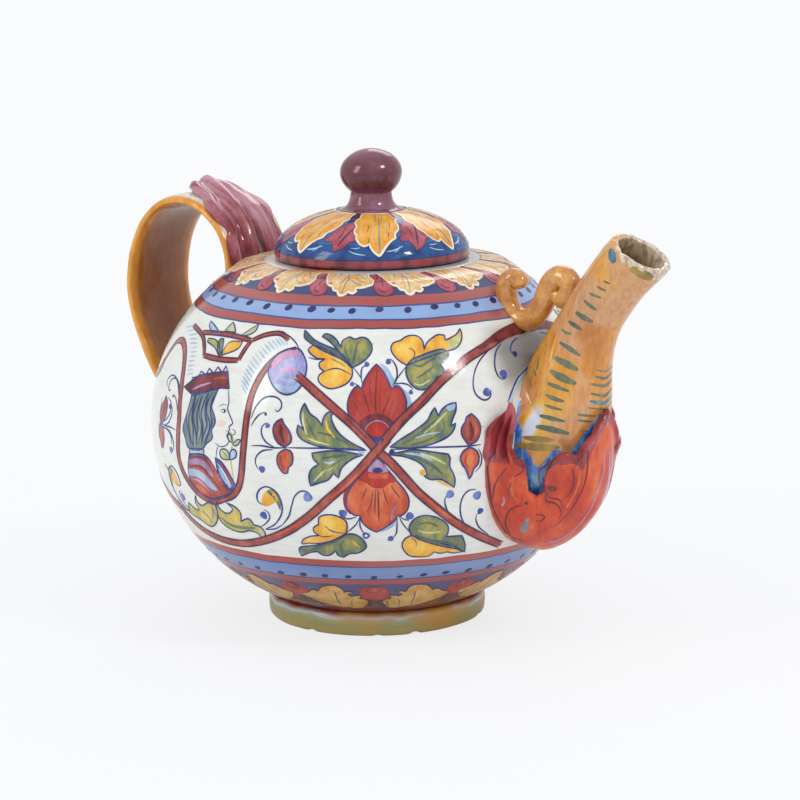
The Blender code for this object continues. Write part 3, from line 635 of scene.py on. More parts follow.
def spoutPaint(material, place, pools, marks):
    parts = addNode(material, "SeparateXYZ", wires={"Vector": place})
    ramp = addNode(material, "ValToRGB", wires={"Fac": pools})
    fillRamp(ramp, [(0.3, "#c2792a"), (0.45, "#d48d2c"), (0.58, "#e0a034"), (0.72, "#e4a94c")])
    # pale pinkish blotches: partly worn glaze, and toward the top, growing with height, a painted reflection
    paleBlotches = addNode(material, "TexNoise", {"Scale": 1000 / 15, "Detail": 3.0}, {"Vector": place})
    high = addNode(material, "MapRange", {"From Min": 0.100, "From Max": 0.125, "To Max": 0.16},
                   {"Value": parts.outputs["Z"]})
    thin = addNode(material, "Math", wires={0: paleBlotches, 1: high}, operation="ADD")
    where = addNode(material, "ValToRGB", wires={"Fac": thin})
    fillRamp(where, [(0.54, "#000000"), (0.68, "#d8d8d8")])
    wornAndReflected = addNode(material, "MixRGB", {"Color2": fromHex("#d3a47e")}, {"Fac": where, "Color1": ramp})
    strokes = addNode(material, "ValToRGB", wires={"Fac": marks})
    fillRamp(strokes, [(0.3, "#d8b48c"), (0.6, "#ffffff")])
    brushed = addNode(material, "MixRGB", {"Fac": 0.6},
                      {"Color1": wornAndReflected, "Color2": strokes}, blend_type="MULTIPLY")
    # painted highlight down the near side of the bulb, pale blue-white, yellow where it fades out
    paintedSheen = addNode(material, "Attribute", attribute_name="paintedSheen").outputs["Fac"]
    sheenTints = addNode(material, "ValToRGB", wires={"Fac": paintedSheen})
    fillRamp(sheenTints, [(0.1, "#e6b02e"), (0.38, "#f7e04a"), (0.62, "#ece6ee"), (0.9, "#d3e2fa")])
    sheenStrength = addNode(material, "MapRange", {"From Min": 0.05, "From Max": 0.8, "To Max": 0.9}, {"Value": paintedSheen})
    brushed = addNode(material, "MixRGB", {}, {"Fac": sheenStrength, "Color1": brushed, "Color2": sheenTints})
    inside = addNode(material, "Attribute", attribute_name="tone").outputs["Fac"]
    sway = addNode(material, "Math", {1: 0.8, 2: -0.4}, {0: marks}, operation="MULTIPLY_ADD")
    edge = addNode(material, "Math", wires={0: inside, 1: sway}, operation="ADD")
    low = addNode(material, "MapRange", {"From Min": -0.62, "From Max": -0.38}, {"Value": edge})
    blue = addNode(material, "ValToRGB", wires={"Fac": marks})
    fillRamp(blue, [(0.35, "#3560d0"), (0.5, "#5390e0"), (0.65, "#8ccdea")])
    dipped = addNode(material, "MixRGB", {}, {"Fac": low, "Color1": blue, "Color2": brushed})
    # bare clay on the lip and down the bore, painted darker the deeper it goes as shade
    shadedBoreClay = addNode(material, "ValToRGB", wires={"Fac": inside})
    fillRamp(shadedBoreClay, [(0.4, "#ddd0bd"), (0.55, "#cdb798"), (0.8, "#b39878"), (1.0, "#94705a")])
    grit = addNode(material, "ValToRGB", wires={"Fac": marks})
    fillRamp(grit, [(0.38, "#a88a68"), (0.58, "#ffffff")])
    crusted = addNode(material, "MixRGB", {"Fac": 0.7},
                      {"Color1": shadedBoreClay, "Color2": grit}, blend_type="MULTIPLY")
    ragged = addNode(material, "Math", {1: 0.35, 2: -0.17}, {0: marks}, operation="MULTIPLY_ADD")
    reach = addNode(material, "Math", wires={0: inside, 1: ragged}, operation="ADD")
    bare = addNode(material, "MapRange", {"From Min": 0.12, "From Max": 0.22}, {"Value": reach})
    lipped = addNode(material, "MixRGB", {}, {"Fac": bare, "Color1": dipped, "Color2": crusted})
    return lipped


# ochre lustre over tin glaze: honey orange, thin and pale in places, paler toward the top as a painted
# reflection, with a painted highlight down the bulb, painted shade down the bore, and cobalt pooled round the
# calyx
ochreLustre = glaze("ochreLustre", [], roughness=0.13, patch=12, streak=1.5, brush=(1, 1, 0.3),
                    colour=spoutPaint, metallic=0.05, film=80)
settle(spoutTube, ochreLustre, "pot", ["spout_tube"])
print("stage: spout drawn", len(spoutTube.data.polygons))


# the calyx, three leaves round the spout's bulb
calyx = {"radius": 0.0249, "widen": 0.0075, "keel": 0.0016, "keelHalf": 14.0, "inset": 0.0060, "sink": 0.0037,
         "drop": 0.0342, "lift": 0.0310, "lean": 0.0050, "wall": 0.0024, "roll": 0.0025, "bead": 0.75,
         "split": 60.0, "lap": 0.0008, "slit": 0.0029, "slitFoot": 0.0116, "ridge": 0.0016, "ridgeStep": 9.0,
         "ridgeAt": 84.0, "slip": 0.0005}
# the rims: (degrees off the spout's outer side, mm of height)
frontRim = [(0, 15.8), (7, 14.6), (14, 11.8), (18, 8.9), (23, 6.2), (27, 3.4), (31, 2.0), (35, 2.6),
            (41, 3.3), (46, 3.2), (50, 2.4), (54, 0.4), (60, -5.0)]
sideRim = [(60, -4.0), (63, 0.8), (66, 1.6), (69, 2.4), (72, 3.8), (75, 7.0), (77.5, 12.0), (80, 16.8),
           (82.5, 19.6), (84.5, 19.9), (87, 18.2), (90, 15.4), (93, 12.4), (97, 9.5), (101, 7.5), (108, 5.5),
           (125, 4.5), (180, 4)]
# where the rim folds over on itself: degrees, height, half widths, push outwards
curls = [(15, 0.0078, 4.5, 0.0030, 0.0013), (28.5, 0.0005, 3.5, 0.0034, 0.0016),
         (43, -0.0002, 7, 0.0022, 0.0009), (71, 0.0012, 5, 0.0022, 0.0011)]


def rimHeight(degrees):
    # the spout side's far half rises a little less, as hand-cut leaves do
    off = abs(degrees)
    rim = frontRim if off < calyx["split"] else sideRim
    if 0 < degrees < calyx["split"]:
        off = min(degrees * 1.3, max(degrees, 46))
    for (near, low), (far, high) in zip(rim, rim[1:]):
        if off <= far:
            return (low + (high - low) * max(off - near, 0) / (far - near)) / 1000
    return rim[-1][1] / 1000


def huskPlace(angle, height):
    reach = calyx["drop"] if height < 0 else calyx["lift"]
    keel = calyx["keel"] * math.exp(-(math.degrees(angle) / calyx["keelHalf"]) ** 2)
    outer = calyx["radius"] + calyx["widen"] * min(abs(angle) / math.radians(90), 1) ** 4 + keel
    radius = (outer - calyx["wall"] / 2) * max(1 - (height / reach) ** 2, 0) ** (0.64 if height < 0 else 0.5)
    out = Vector((math.cos(angle), math.sin(angle), 0))
    lean = calyx["lean"] * max(height, 0) / calyx["lift"]
    return fromBelly(lean - calyx["inset"], height - calyx["sink"]) + out * radius, out


def leafPoint(side, across, along, face):
    # side 0 is the front leaf, 1 and -1 the side leaves; along runs from the foot to the rim
    start, end = (-calyx["split"], calyx["split"]) if side == 0 else (side * calyx["split"], side * 180.0)
    degrees = start + (end - start) * across
    # stay just inside the leaf's own rim table at its edges
    top = rimHeight(degrees * 0.9999 if side == 0 else degrees * 1.0001)
    low = math.radians(-88)
    high = math.asin(min(top / (calyx["lift"] if top > 0 else calyx["drop"]), 0.98))
    rise = low + (high - low) * along
    height = (calyx["drop"] if rise < 0 else calyx["lift"]) * math.sin(rise)
    angle = math.radians(degrees)
    opened = smoothStep((height + calyx["slitFoot"]) / 0.0026)
    # the leaves lap a little at their foot and part in an open slit above it
    halfSlit = (calyx["slit"] + calyx["lap"]) * opened - calyx["lap"]
    radius = max((huskPlace(angle, height)[0] - huskPlace(angle + math.pi, height)[0]).length / 2, 0.004)
    for edge in (start, end):
        near = max(1 - abs(degrees - edge) / 30, 0)
        angle += math.copysign(1, (start + end) / 2 - edge) * near * math.asin(halfSlit / radius)
    place, out = huskPlace(angle, height)
    rim = max((along - 0.82) / 0.18, 0)
    if side == 0:
        rolled = 1 - 0.8 * smoothStep((degrees + 4) / 8)
    else:
        rolled = 1 - smoothStep((abs(degrees) - 80) / 10)
    place += out * calyx["roll"] * rim ** 2.4 * rolled
    if side:
        turns = (abs(degrees) - calyx["ridgeAt"]) / calyx["ridgeStep"]
        place += out * calyx["ridge"] * math.cos(2 * math.pi * turns) * smoothStep(height / 0.005)
        # the side leaves slip under the front one
        place -= out * calyx["slip"] * (1 - opened) * max(1 - abs(degrees - start) / 4, 0)
    for middle, level, wide, tall, push in curls:
        off = ((abs(degrees) - middle) / wide) ** 2 + ((height - level) / tall) ** 2
        place += out * push * math.exp(-off) * (0.3 if side == 0 and degrees > 0 else 1)
    normal = out * math.cos(rise) + Vector((0, 0, math.sin(rise)))
    thick = calyx["wall"] / 2 * (1 + calyx["bead"] * smoothStep((along - 0.93) / 0.06))
    edge = min(across, 1 - across) * (end - start) * side if side else min(across, 1 - across) * 120
    thick *= math.sqrt(max(min(abs(edge) / (2.4 + 0.6 * opened), 1), 0))
    folds = 0.00030 * waver(place, 0.0095, 6.0 + side) + 0.00012 * waver(place, 0.0035, 9.0)
    return place + normal * (face * thick + folds)


def leafSkin(side):
    # up the outer face, over the rim and down the inner one
    def place(across, fold):
        if fold <= 0.44:
            return leafPoint(side, across, fold / 0.44, 1 if fold > 0 else 0)
        if fold >= 0.56:
            return leafPoint(side, across, (1 - fold) / 0.44, -1 if fold < 1 else 0)
        over = math.pi * (fold - 0.44) / 0.12
        return (leafPoint(side, across, 1, math.cos(over))
                + Vector((0, 0, calyx["wall"] * 0.60 * math.sin(over))))
    return place


def calyxPaint(material, place, pools, marks):
    tone = addNode(material, "Attribute", attribute_name="tone").outputs["Fac"]
    ramp = addNode(material, "ValToRGB", wires={"Fac": pools})
    fillRamp(ramp, [(0.28, "#b33427"), (0.44, "#ca4529"), (0.57, "#d8552e"), (0.72, "#df754a")])
    sway = addNode(material, "Math", {1: 0.3, 2: -0.15}, {0: marks}, operation="MULTIPLY_ADD")
    edge = addNode(material, "Math", wires={0: tone, 1: sway}, operation="ADD")
    dark = addNode(material, "ValToRGB", wires={"Fac": edge})
    fillRamp(dark, [(0.42, "#000000"), (0.58, "#ffffff")])
    wine = addNode(material, "ValToRGB", wires={"Fac": pools})
    fillRamp(wine, [(0.3, "#5c1c22"), (0.46, "#8f3036"), (0.58, "#ac444b"), (0.7, "#bb646b")])
    mixed = addNode(material, "MixRGB", {}, {"Fac": dark, "Color1": ramp, "Color2": wine})
    brush = addNode(material, "ValToRGB", wires={"Fac": marks})
    fillRamp(brush, [(0.32, "#c08a86"), (0.6, "#ffffff")])
    brushed = addNode(material, "MixRGB", {"Fac": 0.45},
                      {"Color1": mixed, "Color2": brush}, blend_type="MULTIPLY")
    return brushed


# vermilion and ruby lustre over the modelled leaves: glassy, dark where the rims roll over
vermilionGlaze = glaze("vermilionGlaze", [], roughness=0.09, patch=8, streak=1.6, brush=(1, 1, 0.4),
                       colour=calyxPaint, grain=0.06)


def roundCalyx(place):
    centre = fromBelly(-calyx["inset"], -calyx["sink"])
    return math.degrees(math.atan2(place.y, place.x - centre.x)), place.z - centre.z


toned(spoutTube, spoutInside)


def rimTone(place):
    # 1 on the rolled rims and over the whole tall side lobes
    degrees, rise = roundCalyx(place)
    degrees = abs(degrees)
    if degrees > 76:
        return smoothStep((rise - 0.0006) / 0.0012)
    band = 0.0032 + 0.0024 * math.exp(-((degrees - 20) / 8) ** 2)
    return smoothStep((rise - rimHeight(degrees) + band) / 0.0010)


def makeLeaf(name, side, columns, rows, node):
    leaf = laidGrid(name, columns, rows, leafSkin(side))
    combine(leaf, bodyPlug(0.0006))
    toned(leaf, rimTone)
    return settle(leaf, vermilionGlaze, "pot", [node])


calyxLeaves = [makeLeaf("calyxFront", 0, 120, 110, "calyx_leaf_front"),
               makeLeaf("calyxLeft", 1, 110, 110, "calyx_leaf_left"),
               makeLeaf("calyxRight", -1, 110, 110, "calyx_leaf_right")]
print("stage: calyx leaves laid")


# the handle, a strap bent to a loop
handle = {"width": 0.0330, "thick": 0.0042, "loop": 0.0235, "crest": 0.0166, "crestInset": 0.0020,
          "shoulder": 0.0160, "widestDrop": 0.0336, "fall": 0.0180, "tail": 0.0120, "tailStand": 0.0080,
          "tailTurn": 0.0030, "tailBury": 0.0030, "ringTop": 0.1290}
crestX = pot["bellyRadius"] - handle["crestInset"]
crestZ = handle["ringTop"] + handle["crest"]
shoulderX = pot["collarRadius"] + handle["shoulder"]
shoulderZ = pot["bellyHeight"] + pot["upperRise"] * math.sqrt(1 - (shoulderX / pot["bellyRadius"]) ** 2)
loopX = pot["bellyRadius"] + handle["loop"]
widestZ = crestZ - handle["widestDrop"]


def strapLine(steps):
    path = [(-shoulderX, shoulderZ - 0.0035)]
    for i in range(steps):
        angle = math.radians(90) * i / steps
        path.append((-crestX + (crestX - shoulderX) * math.cos(angle),
                     shoulderZ + (crestZ - shoulderZ) * math.sin(angle)))
    for i in range(steps):
        angle = math.radians(90) * i / steps
        path.append((-crestX - (loopX - crestX) * math.sin(angle),
                     widestZ + handle["widestDrop"] * math.cos(angle)))
    pulls = [(-loopX, widestZ), (-loopX, widestZ - handle["fall"]),
             (-pot["bellyRadius"] - handle["tailStand"], pot["bellyHeight"] + handle["tailTurn"]),
             (-pot["bellyRadius"] + handle["tailBury"], pot["bellyHeight"] - handle["tail"])]
    for i in range(steps + 1):
        share = i / steps
        rest = 1 - share
        near, far = 3 * rest ** 2 * share, 3 * rest * share ** 2
        path.append(tuple(a * rest ** 3 + b * near + c * far + d * share ** 3 for a, b, c, d in zip(*pulls)))
    return [Vector((potX + x, 0, z)) for x, z in path]


def sweepLine(name, path, section, sides):
    # section(share, angle) gives (out of the line's inner side, sideways); both ends are closed
    last = len(path) - 1

    def place(across, along):
        i = round(along * (last + 2)) - 1
        end = i < 0 or i > last
        i = min(max(i, 0), last)
        ahead = (path[min(i + 1, last)] - path[max(i - 1, 0)]).normalized()
        out = Vector((-ahead.z, 0, ahead.x))
        high, wide = (0, 0) if end else section(i / last, 2 * math.pi * across)
        return path[i] + out * high + Vector((0, wide, 0))
    return laidGrid(name, sides, last + 2, place)


strapPath = strapLine(34)


def strapSection(share, angle):
    side = math.copysign(abs(math.cos(angle)) ** 0.45, math.cos(angle))
    face = math.copysign(abs(math.sin(angle)) ** 0.75, math.sin(angle))
    spot = (share * 8, side, face)
    high = handle["thick"] / 2 * face * (1 + 0.05 * noise.noise(Vector(spot)))
    high += 0.00022 * noise.noise(Vector((share * 14, side * 1.6, 3)))
    return high, handle["width"] / 2 * side * (1 + 0.018 * noise.noise(Vector((share * 9, side, 7))))


handleStrap = sweepLine("handleStrap", strapPath, strapSection, 48)


def strapPaint(material, place, pools, marks):
    parts = addNode(material, "SeparateXYZ", wires={"Vector": place})
    off = addNode(material, "Math", wires={0: parts.outputs["Y"]}, operation="ABSOLUTE")
    sway = addNode(material, "Math", {1: 0.0030}, {0: pools, 2: off},
                   operation="MULTIPLY_ADD")
    share = addNode(material, "Math", {1: 1 / 0.020}, {0: sway}, operation="MULTIPLY")
    ramp = addNode(material, "ValToRGB", wires={"Fac": share})
    fillRamp(ramp, [(0.1, "#8a4c22"), (0.5, "#985a26"), (0.70, "#ab6c2c"), (0.78, "#dc963c"),
                    (0.95, "#eba94a")])
    strokes = addNode(material, "ValToRGB", wires={"Fac": marks})
    fillRamp(strokes, [(0.3, "#cfa27a"), (0.6, "#ffffff")])
    mixed = addNode(material, "MixRGB", {"Fac": 0.5},
                    {"Color1": ramp, "Color2": strokes}, blend_type="MULTIPLY")
    # the outer face keeps the tin glaze, with blue and ochre wiped along it
    outer = addNode(material, "Attribute", attribute_name="tone").outputs["Fac"]
    wiped = addNode(material, "ValToRGB", wires={"Fac": marks})
    fillRamp(wiped, [(0.3, "#9db6d6"), (0.42, "#cfdbe2"), (0.52, "#e4e7df"), (0.62, "#e0d4ae"),
                     (0.72, "#d0bb80")])
    both = addNode(material, "MixRGB", {}, {"Fac": outer, "Color1": mixed, "Color2": wiped})
    return both


def strapOuter(place):
    near = min(range(len(strapPath)), key=lambda i: (strapPath[i] - Vector((place.x, 0, place.z))).length)
    ahead = (strapPath[min(near + 1, len(strapPath) - 1)] - strapPath[max(near - 1, 0)]).normalized()
    high = (place - strapPath[near]).dot(Vector((-ahead.z, 0, ahead.x)))
    return smoothStep((-high - handle["thick"] * 0.30) / (handle["thick"] * 0.12))


toned(handleStrap, strapOuter)
# tawny lustre on the strap: glossy brown inside the loop, bright orange where it thins on the edges
tawnyLustre = glaze("tawnyLustre", [], roughness=0.12, patch=14, streak=2.4, brush=(1, 1, 0.25),
                    colour=strapPaint, metallic=0.05)
settle(handleStrap, tawnyLustre, "pot", ["handle_strap"])


# the leaf over the handle's shoulder end
overLeaf = {"half": 0.0158, "tipLift": 0.0046, "tipNarrow": 0.5, "wall": 0.0018, "drift": 0.16, "from": -18,
            "sweep": 112, "softEdge": 0.0008}
# height over the strap in mm across the leaf: rolled near rim, valley, main crest, crease, far lobe
leafProfile = [(-1.0, -1.2), (-0.84, 1.0), (-0.55, -0.1), (-0.14, 1.9), (0.2, -0.9), (0.5, -0.2), (0.8, -0.5),
               (1.0, -1.2)]


def strapTop(share):
    # a spot on the strap's upper face: from below the shoulder joint, over the crest, to just past it
    angle = math.radians(overLeaf["from"] + overLeaf["sweep"] * share)
    wide, high = crestX - shoulderX, crestZ - shoulderZ
    if angle < 0:
        middle, out = Vector((-shoulderX, 0, shoulderZ + high * angle)), Vector((1, 0, 0))
    elif angle < math.radians(90):
        middle = Vector((-crestX + wide * math.cos(angle), 0, shoulderZ + high * math.sin(angle)))
        out = Vector((high * math.cos(angle), 0, wide * math.sin(angle))).normalized()
    else:
        over = angle - math.radians(90)
        middle = Vector((-crestX - (loopX - crestX) * math.sin(over), 0,
                         crestZ - handle["widestDrop"] * (1 - math.cos(over))))
        out = Vector((-math.sin(over), 0, math.cos(over)))
    return middle + Vector((potX, 0, 0)) + out * (handle["thick"] / 2 + 0.0003), out


def overLeafPoint(across, along):
    side = 2 * across - 1
    seat, out = strapTop(along)
    back = Vector((out.z, 0, -out.x))
    tip = max((along - 0.6) / 0.4, 0)
    lobe = 1 - 0.15 * abs(math.sin(3 * math.pi * along + 0.5)) ** 3
    half = overLeaf["half"] * (1 - overLeaf["tipNarrow"] * tip ** 2) * lobe
    # the folds drift sideways as they run down the leaf, and the ends stay where they are
    drifted = side + overLeaf["drift"] * math.sin(5 * along - 0.6) * (1 - side ** 2)
    for (near, low), (far, high) in zip(leafProfile, leafProfile[1:]):
        if drifted <= far:
            break
    rise = (low + (high - low) * smoothStep((drifted - near) / (far - near))) / 1000
    # the main crest swells in the middle of its run
    rise *= 0.75 + 0.45 * math.sin(math.pi * min(along / 0.9, 1))
    place = seat + Vector((0, side * half, 0)) + out * rise
    # the tip lifts and curls over
    curl = max(tip - 0.78, 0) / 0.22
    place += out * overLeaf["tipLift"] * tip ** 2.4 * (1 - 0.35 * abs(side)) * (1 - 0.45 * curl ** 2)
    place += back * 0.0012 * tip ** 6
    return place + out * 0.00022 * waver(place, 0.005, 8.0)


handleLeaf = laidGrid("handleLeaf", 64, 96, overLeafPoint)
wall = handleLeaf.modifiers.new("wall", "SOLIDIFY")
wall.thickness = overLeaf["wall"]
wall.offset = 0
wall.use_even_offset = False
select(handleLeaf)
bpy.ops.object.modifier_apply(modifier="wall")
bevel = handleLeaf.modifiers.new("softEdge", "BEVEL")
bevel.width = overLeaf["softEdge"]
bevel.segments = 2
bevel.limit_method = "ANGLE"
bevel.angle_limit = math.radians(50)
bpy.ops.object.modifier_apply(modifier="softEdge")
closeUp(handleLeaf)


def leafTone(place):
    # long strokes that follow the leaf, wine red low down, lilac on the upper near folds and over the far
    # half, the lilac partly the lustre's colour and partly a painted sheen
    wide, high = crestX - shoulderX, crestZ - shoulderZ
    angle = math.atan2((place.z - shoulderZ) / high, (place.x - potX + crestX) / wide)
    along = (math.degrees(angle) - overLeaf["from"]) / overLeaf["sweep"]
    side = place.y / overLeaf["half"]
    stroke = waver((side * 5 + along * 1.5, along * 1.3, 2.0), 1.0, 3.0)
    stroke += 0.6 * waver((side * 14, along * 3, 5.0), 1.0, 6.0)
    paintedSheen = 0.5 * smoothStep((along - 0.4) / 0.45) if side < 0.1 else 0.52 * smoothStep((along - 0.1) / 0.45)
    return min(max(0.22 + paintedSheen + 0.62 * stroke, 0), 1)


toned(handleLeaf, leafTone)
# ruby lustre leaf: wine red with lilac along the folds, partly a painted sheen
leafStops = [(0.0, "#4a1c22"), (0.22, "#7d323a"), (0.4, "#9b4e58"), (0.58, "#ac7280"), (0.78, "#ba8896"),
             (1.0, "#caa0b0")]
rubyLeafLustre = glaze("rubyLeafLustre", leafStops, roughness=0.12, patch=6, streak=1.2, swing=0.8, tone=0.72,
                       metallic=0.08)
settle(handleLeaf, rubyLeafLustre, "pot", ["handle_leaf"])


# the brace, a clay coil curled at both ends; its line is (out, up) from the belly's widest point, read by
# eye in the photograph and turned into metres by another script
brace = {"radius": 0.0039, "end": 0.78,
         "line": [(-0.0150, 0.0515), (-0.0158, 0.0540), (-0.0180, 0.0549), (-0.0204, 0.0531),
                  (-0.0213, 0.0495), (-0.0203, 0.0454), (-0.0180, 0.0423), (-0.0151, 0.0409),
                  (-0.0117, 0.0413), (-0.0083, 0.0437), (-0.0056, 0.0475), (-0.0037, 0.0518),
                  (-0.0016, 0.0554), (0.0013, 0.0572), (0.0042, 0.0566), (0.0058, 0.0543),
                  (0.0050, 0.0515), (0.0025, 0.0499), (0.0003, 0.0511), (-0.0003, 0.0528)]}


def throughPoints(points, steps, closed=False):
    # a smooth line through the points; a point given twice is a corner
    count = len(points)
    path = []
    for i in range(count if closed else count - 1):
        a, b, c, d = [points[(i + k) % count] if closed else points[min(max(i + k, 0), count - 1)]
                      for k in (-1, 0, 1, 2)]
        a, b, c, d = Vector(a), Vector(b), Vector(c), Vector(d)
        if (c - b).length < 1e-9:
            continue
        pieces = steps if isinstance(steps, int) else max(1, math.ceil((c - b).length / steps))
        for step in range(pieces):
            t = step / pieces
            path.append(0.5 * (2 * b + (c - a) * t + (2 * a - 5 * b + 4 * c - d) * t ** 2
                               + (3 * b - a - 3 * c + d) * t ** 3))
    if not closed:
        path.append(Vector(points[-1]))
    return path


bracePath = [fromBelly(p.x, p.y) for p in throughPoints(brace["line"], 8)]


def braceSection(share, angle):
    thick = brace["radius"] * (brace["end"] + (1 - brace["end"]) * smoothStep(min(share, 1 - share) * 6))
    end = min(share, 1 - share) * len(bracePath) / 5
    thick *= math.sqrt(min(max(end, 0.03), 1))
    thick *= 1 + 0.05 * noise.noise(Vector((share * 9, math.cos(angle), 2)))
    return thick * math.sin(angle), thick * math.cos(angle)


scrollBrace = sweepLine("scrollBrace", bracePath, braceSection, 24)
# amber lustre on the coil: orange-brown, glassy
amberLustre = glaze("amberLustre", [(0.0, "#ad6831"), (0.35, "#c98540"), (0.7, "#dba04e"), (1.0, "#e2b480")],
                    film=75, roughness=0.1, patch=5, streak=1.1, swing=0.8, metallic=0.05)
settle(scrollBrace, amberLustre, "pot", ["scroll_brace"])
print("stage: handle, leaf and brace made")


# the painting: raised enamel strokes, laid by millimetres round the pot and up its skin from the belly line
paint = {"lift": 0.00005, "coat": 0.00003, "depth": 0.00018, "cell": 0.0022, "edge": 0.0009, "wobble": 0.22,
         "draw": 5, "rim": 0.00065, "round": 0.0800, "lidRound": 0.0347}
enamels = {}


def layFlat(colour, place, spots, faces, tones):
    # collects a flat shape under its colour; `place` lays it on the pot
    points, polygons, marks = enamels.setdefault(colour, ([], [], []))
    start = len(points)
    points.extend(place(x, y) for x, y in spots)
    corners = faces[len(faces) // 2]
    a, b, c = [points[start + i] for i in corners[:3]]
    outwards = (b - a).cross(c - a).dot(place(*spots[corners[0]], 20) - a) > 0
    polygons.extend([start + i for i in (face if outwards else face[::-1])] for face in faces)
    marks.extend(tones)


def layStroke(colour, place, path, width, loop=False, seed=0.0):
    # a brush stroke along the path, pressed unevenly and drawn out at its ends
    count = len(path)
    columns = 3 if width > 0.0012 else 2
    spots, tones = [], []
    for i, spot in enumerate(path):
        before = path[(i - 1) % count] if loop else path[max(i - 1, 0)]
        after = path[(i + 1) % count] if loop else path[min(i + 1, count - 1)]
        along = after - before
        if along.length < 1e-9:
            along = Vector((1, 0))
        side = Vector((-along.y, along.x)).normalized()
        press = 1 + paint["wobble"] * noise.noise(Vector((spot.x, spot.y, seed)) * 160)
        if not loop:
            press *= 0.3 + 0.7 * min(min(i, count - 1 - i) / paint["draw"], 1) ** 0.7
        for k in range(columns):
            off = (k / (columns - 1) - 0.5) * width * press
            spots.append(spot + side * off)
            tones.append(0.5 + 0.5 * noise.noise(Vector((spot.x, spot.y, seed + 4)) * 90))
    faces = []
    for i in range(count if loop else count - 1):
        j = (i + 1) % count
        for k in range(columns - 1):
            faces.append([i * columns + k, i * columns + k + 1, j * columns + k + 1, j * columns + k])
    layFlat(colour, place, spots, faces, tones)


def layPatch(colour, place, outline):
    # a brushed area: points set across its inside so that it follows the pot's curve
    count = len(outline)
    spots = [Vector((p.x, p.y)) for p in outline]
    left, right = min(p.x for p in spots), max(p.x for p in spots)
    low, high = min(p.y for p in spots), max(p.y for p in spots)
    step = paint["cell"]
    inside = []
    for row in range(int((high - low) / (step * 0.866)) + 1):
        for column in range(int((right - left) / step) + 2):
            x, y = left + (column - 0.5 * (row % 2)) * step, low + row * step * 0.866
            crossings, near = 0, 1.0
            for a, b in zip(spots, spots[1:] + spots[:1]):
                if (a.y > y) != (b.y > y) and x < a.x + (b.x - a.x) * (y - a.y) / (b.y - a.y):
                    crossings += 1
                near = min(near, math.hypot((a.x + b.x) / 2 - x, (a.y + b.y) / 2 - y))
            if crossings % 2 and near > step * 0.45:
                inside.append((Vector((x, y)), min(near / 0.0026, 1)))
    edges = [(i, (i + 1) % count) for i in range(count)]
    found, _, faces, *_ = delaunay_2d_cdt(spots + [spot for spot, near in inside], edges, [], 1, 1e-7)
    rims = {(round(spot.x, 6), round(spot.y, 6)): near for spot, near in inside}
    tones = [0.15 + 0.85 * rims.get((round(p.x, 6), round(p.y, 6)), 0.0) for p in found]
    if faces:
        layFlat(colour, place, found, [list(face) for face in faces], tones)


def layMotif(rows, onto, shift=0.0, mirror=1, body="pot"):
    # rows: kind, colour or colour/outline, coat, width or radius in mm, key points in mm; a key point with a
    # third number is a corner, which counts twice
    for kind, colour, coat, size, keys in rows:
        keys = [Vector((x / 1000, y / 1000)) for x, y, *corner in keys for _ in (0, *corner)]
        colour, _, edge = colour.partition("/")
        colour, edge = (body, colour), (body, edge or "cobalt")

        def place(x, y, more=0):
            return onto((x + shift) * mirror, y, paint["lift"] + paint["coat"] * (coat + more))
        if kind == "dot":
            ring = []
            for i in range(14):
                a = 2 * math.pi * i / 14
                reach = size / 1000 * (1 + 0.08 * math.sin(3 * a + keys[0].x * 900))
                ring.append(keys[0] + Vector((math.cos(a), math.sin(a))) * reach)
            layPatch(colour, place, ring)
        elif kind == "area":
            outline = throughPoints(keys, paint["edge"] * 1.4, closed=True)
            layPatch(colour, place, outline)
            if size:
                layStroke(edge, lambda x, y, more=0: place(x, y, 1 + more), outline, size / 1000, True,
                          keys[0].x * 99)
        else:
            path = throughPoints(keys, paint["edge"])
            layStroke(colour, place, path, size / 1000, seed=keys[0].y * 99)
            if kind == "strap":
                for side in (-1, 1):
                    line = []
                    for i, spot in enumerate(path):
                        along = path[min(i + 1, len(path) - 1)] - path[max(i - 1, 0)]
                        line.append(spot + Vector((-along.y, along.x)).normalized() * side * size / 2000)
                    layStroke((body, "plum"), lambda x, y, more=0: place(x, y, 0.5 + more), line,
                              paint["rim"], seed=side)


def onBody(x, y, lift):
    return turnedPoint(bodyTrack, x / paint["round"], y, lift)


def onLid(x, y, lift):
    return turnedPoint(lidTrack, x / paint["lidRound"], y, lift)


# one side's straps, palmettes, leaves and medallion, then the rings and the strokes on the modelled parts;
# the key points of these lists were read by eye in the photograph, and another script turned them into
# millimetres on the pot's skin
crossedStraps = [
    ("strap", "brick", 3, 2.7, [(-101, 28.3), (-98, 26.5), (-91.1, 21.5), (-84.8, 16.6), (-79.6, 12.3),
     (-74.5, 7.3), (-70.9, 3.2), (-66.6, -0.9), (-62.3, -5.9), (-58.2, -10.8), (-53.5, -15.3),
     (-48.5, -19.7), (-42.6, -24.5), (-36.2, -28.7), (-28.9, -32.8), (-19.1, -37.6)]),
    ("strap", "brick", 4, 2.8, [(-6.9, 40.4), (-15.2, 39.5), (-22.3, 37.2), (-30, 34.8), (-35.6, 32.6),
     (-41.3, 29.5), (-46.2, 26.7), (-50.5, 23.5), (-54.9, 19.7), (-59.3, 16.2), (-63.3, 12.7), (-67.2, 8.5),
     (-70.9, 3.9), (-75, -0.8), (-79.4, -5.6), (-84, -9.9), (-89.1, -14.5), (-94.2, -19.3), (-99.6, -23.6),
     (-105.5, -27.5), (-112.8, -31.1), (-120.8, -34), (-128.8, -35.8), (-137.7, -36.3), (-146.1, -35.5),
     (-153.4, -33.6), (-159.7, -30.6), (-164.7, -27.3)]),
]
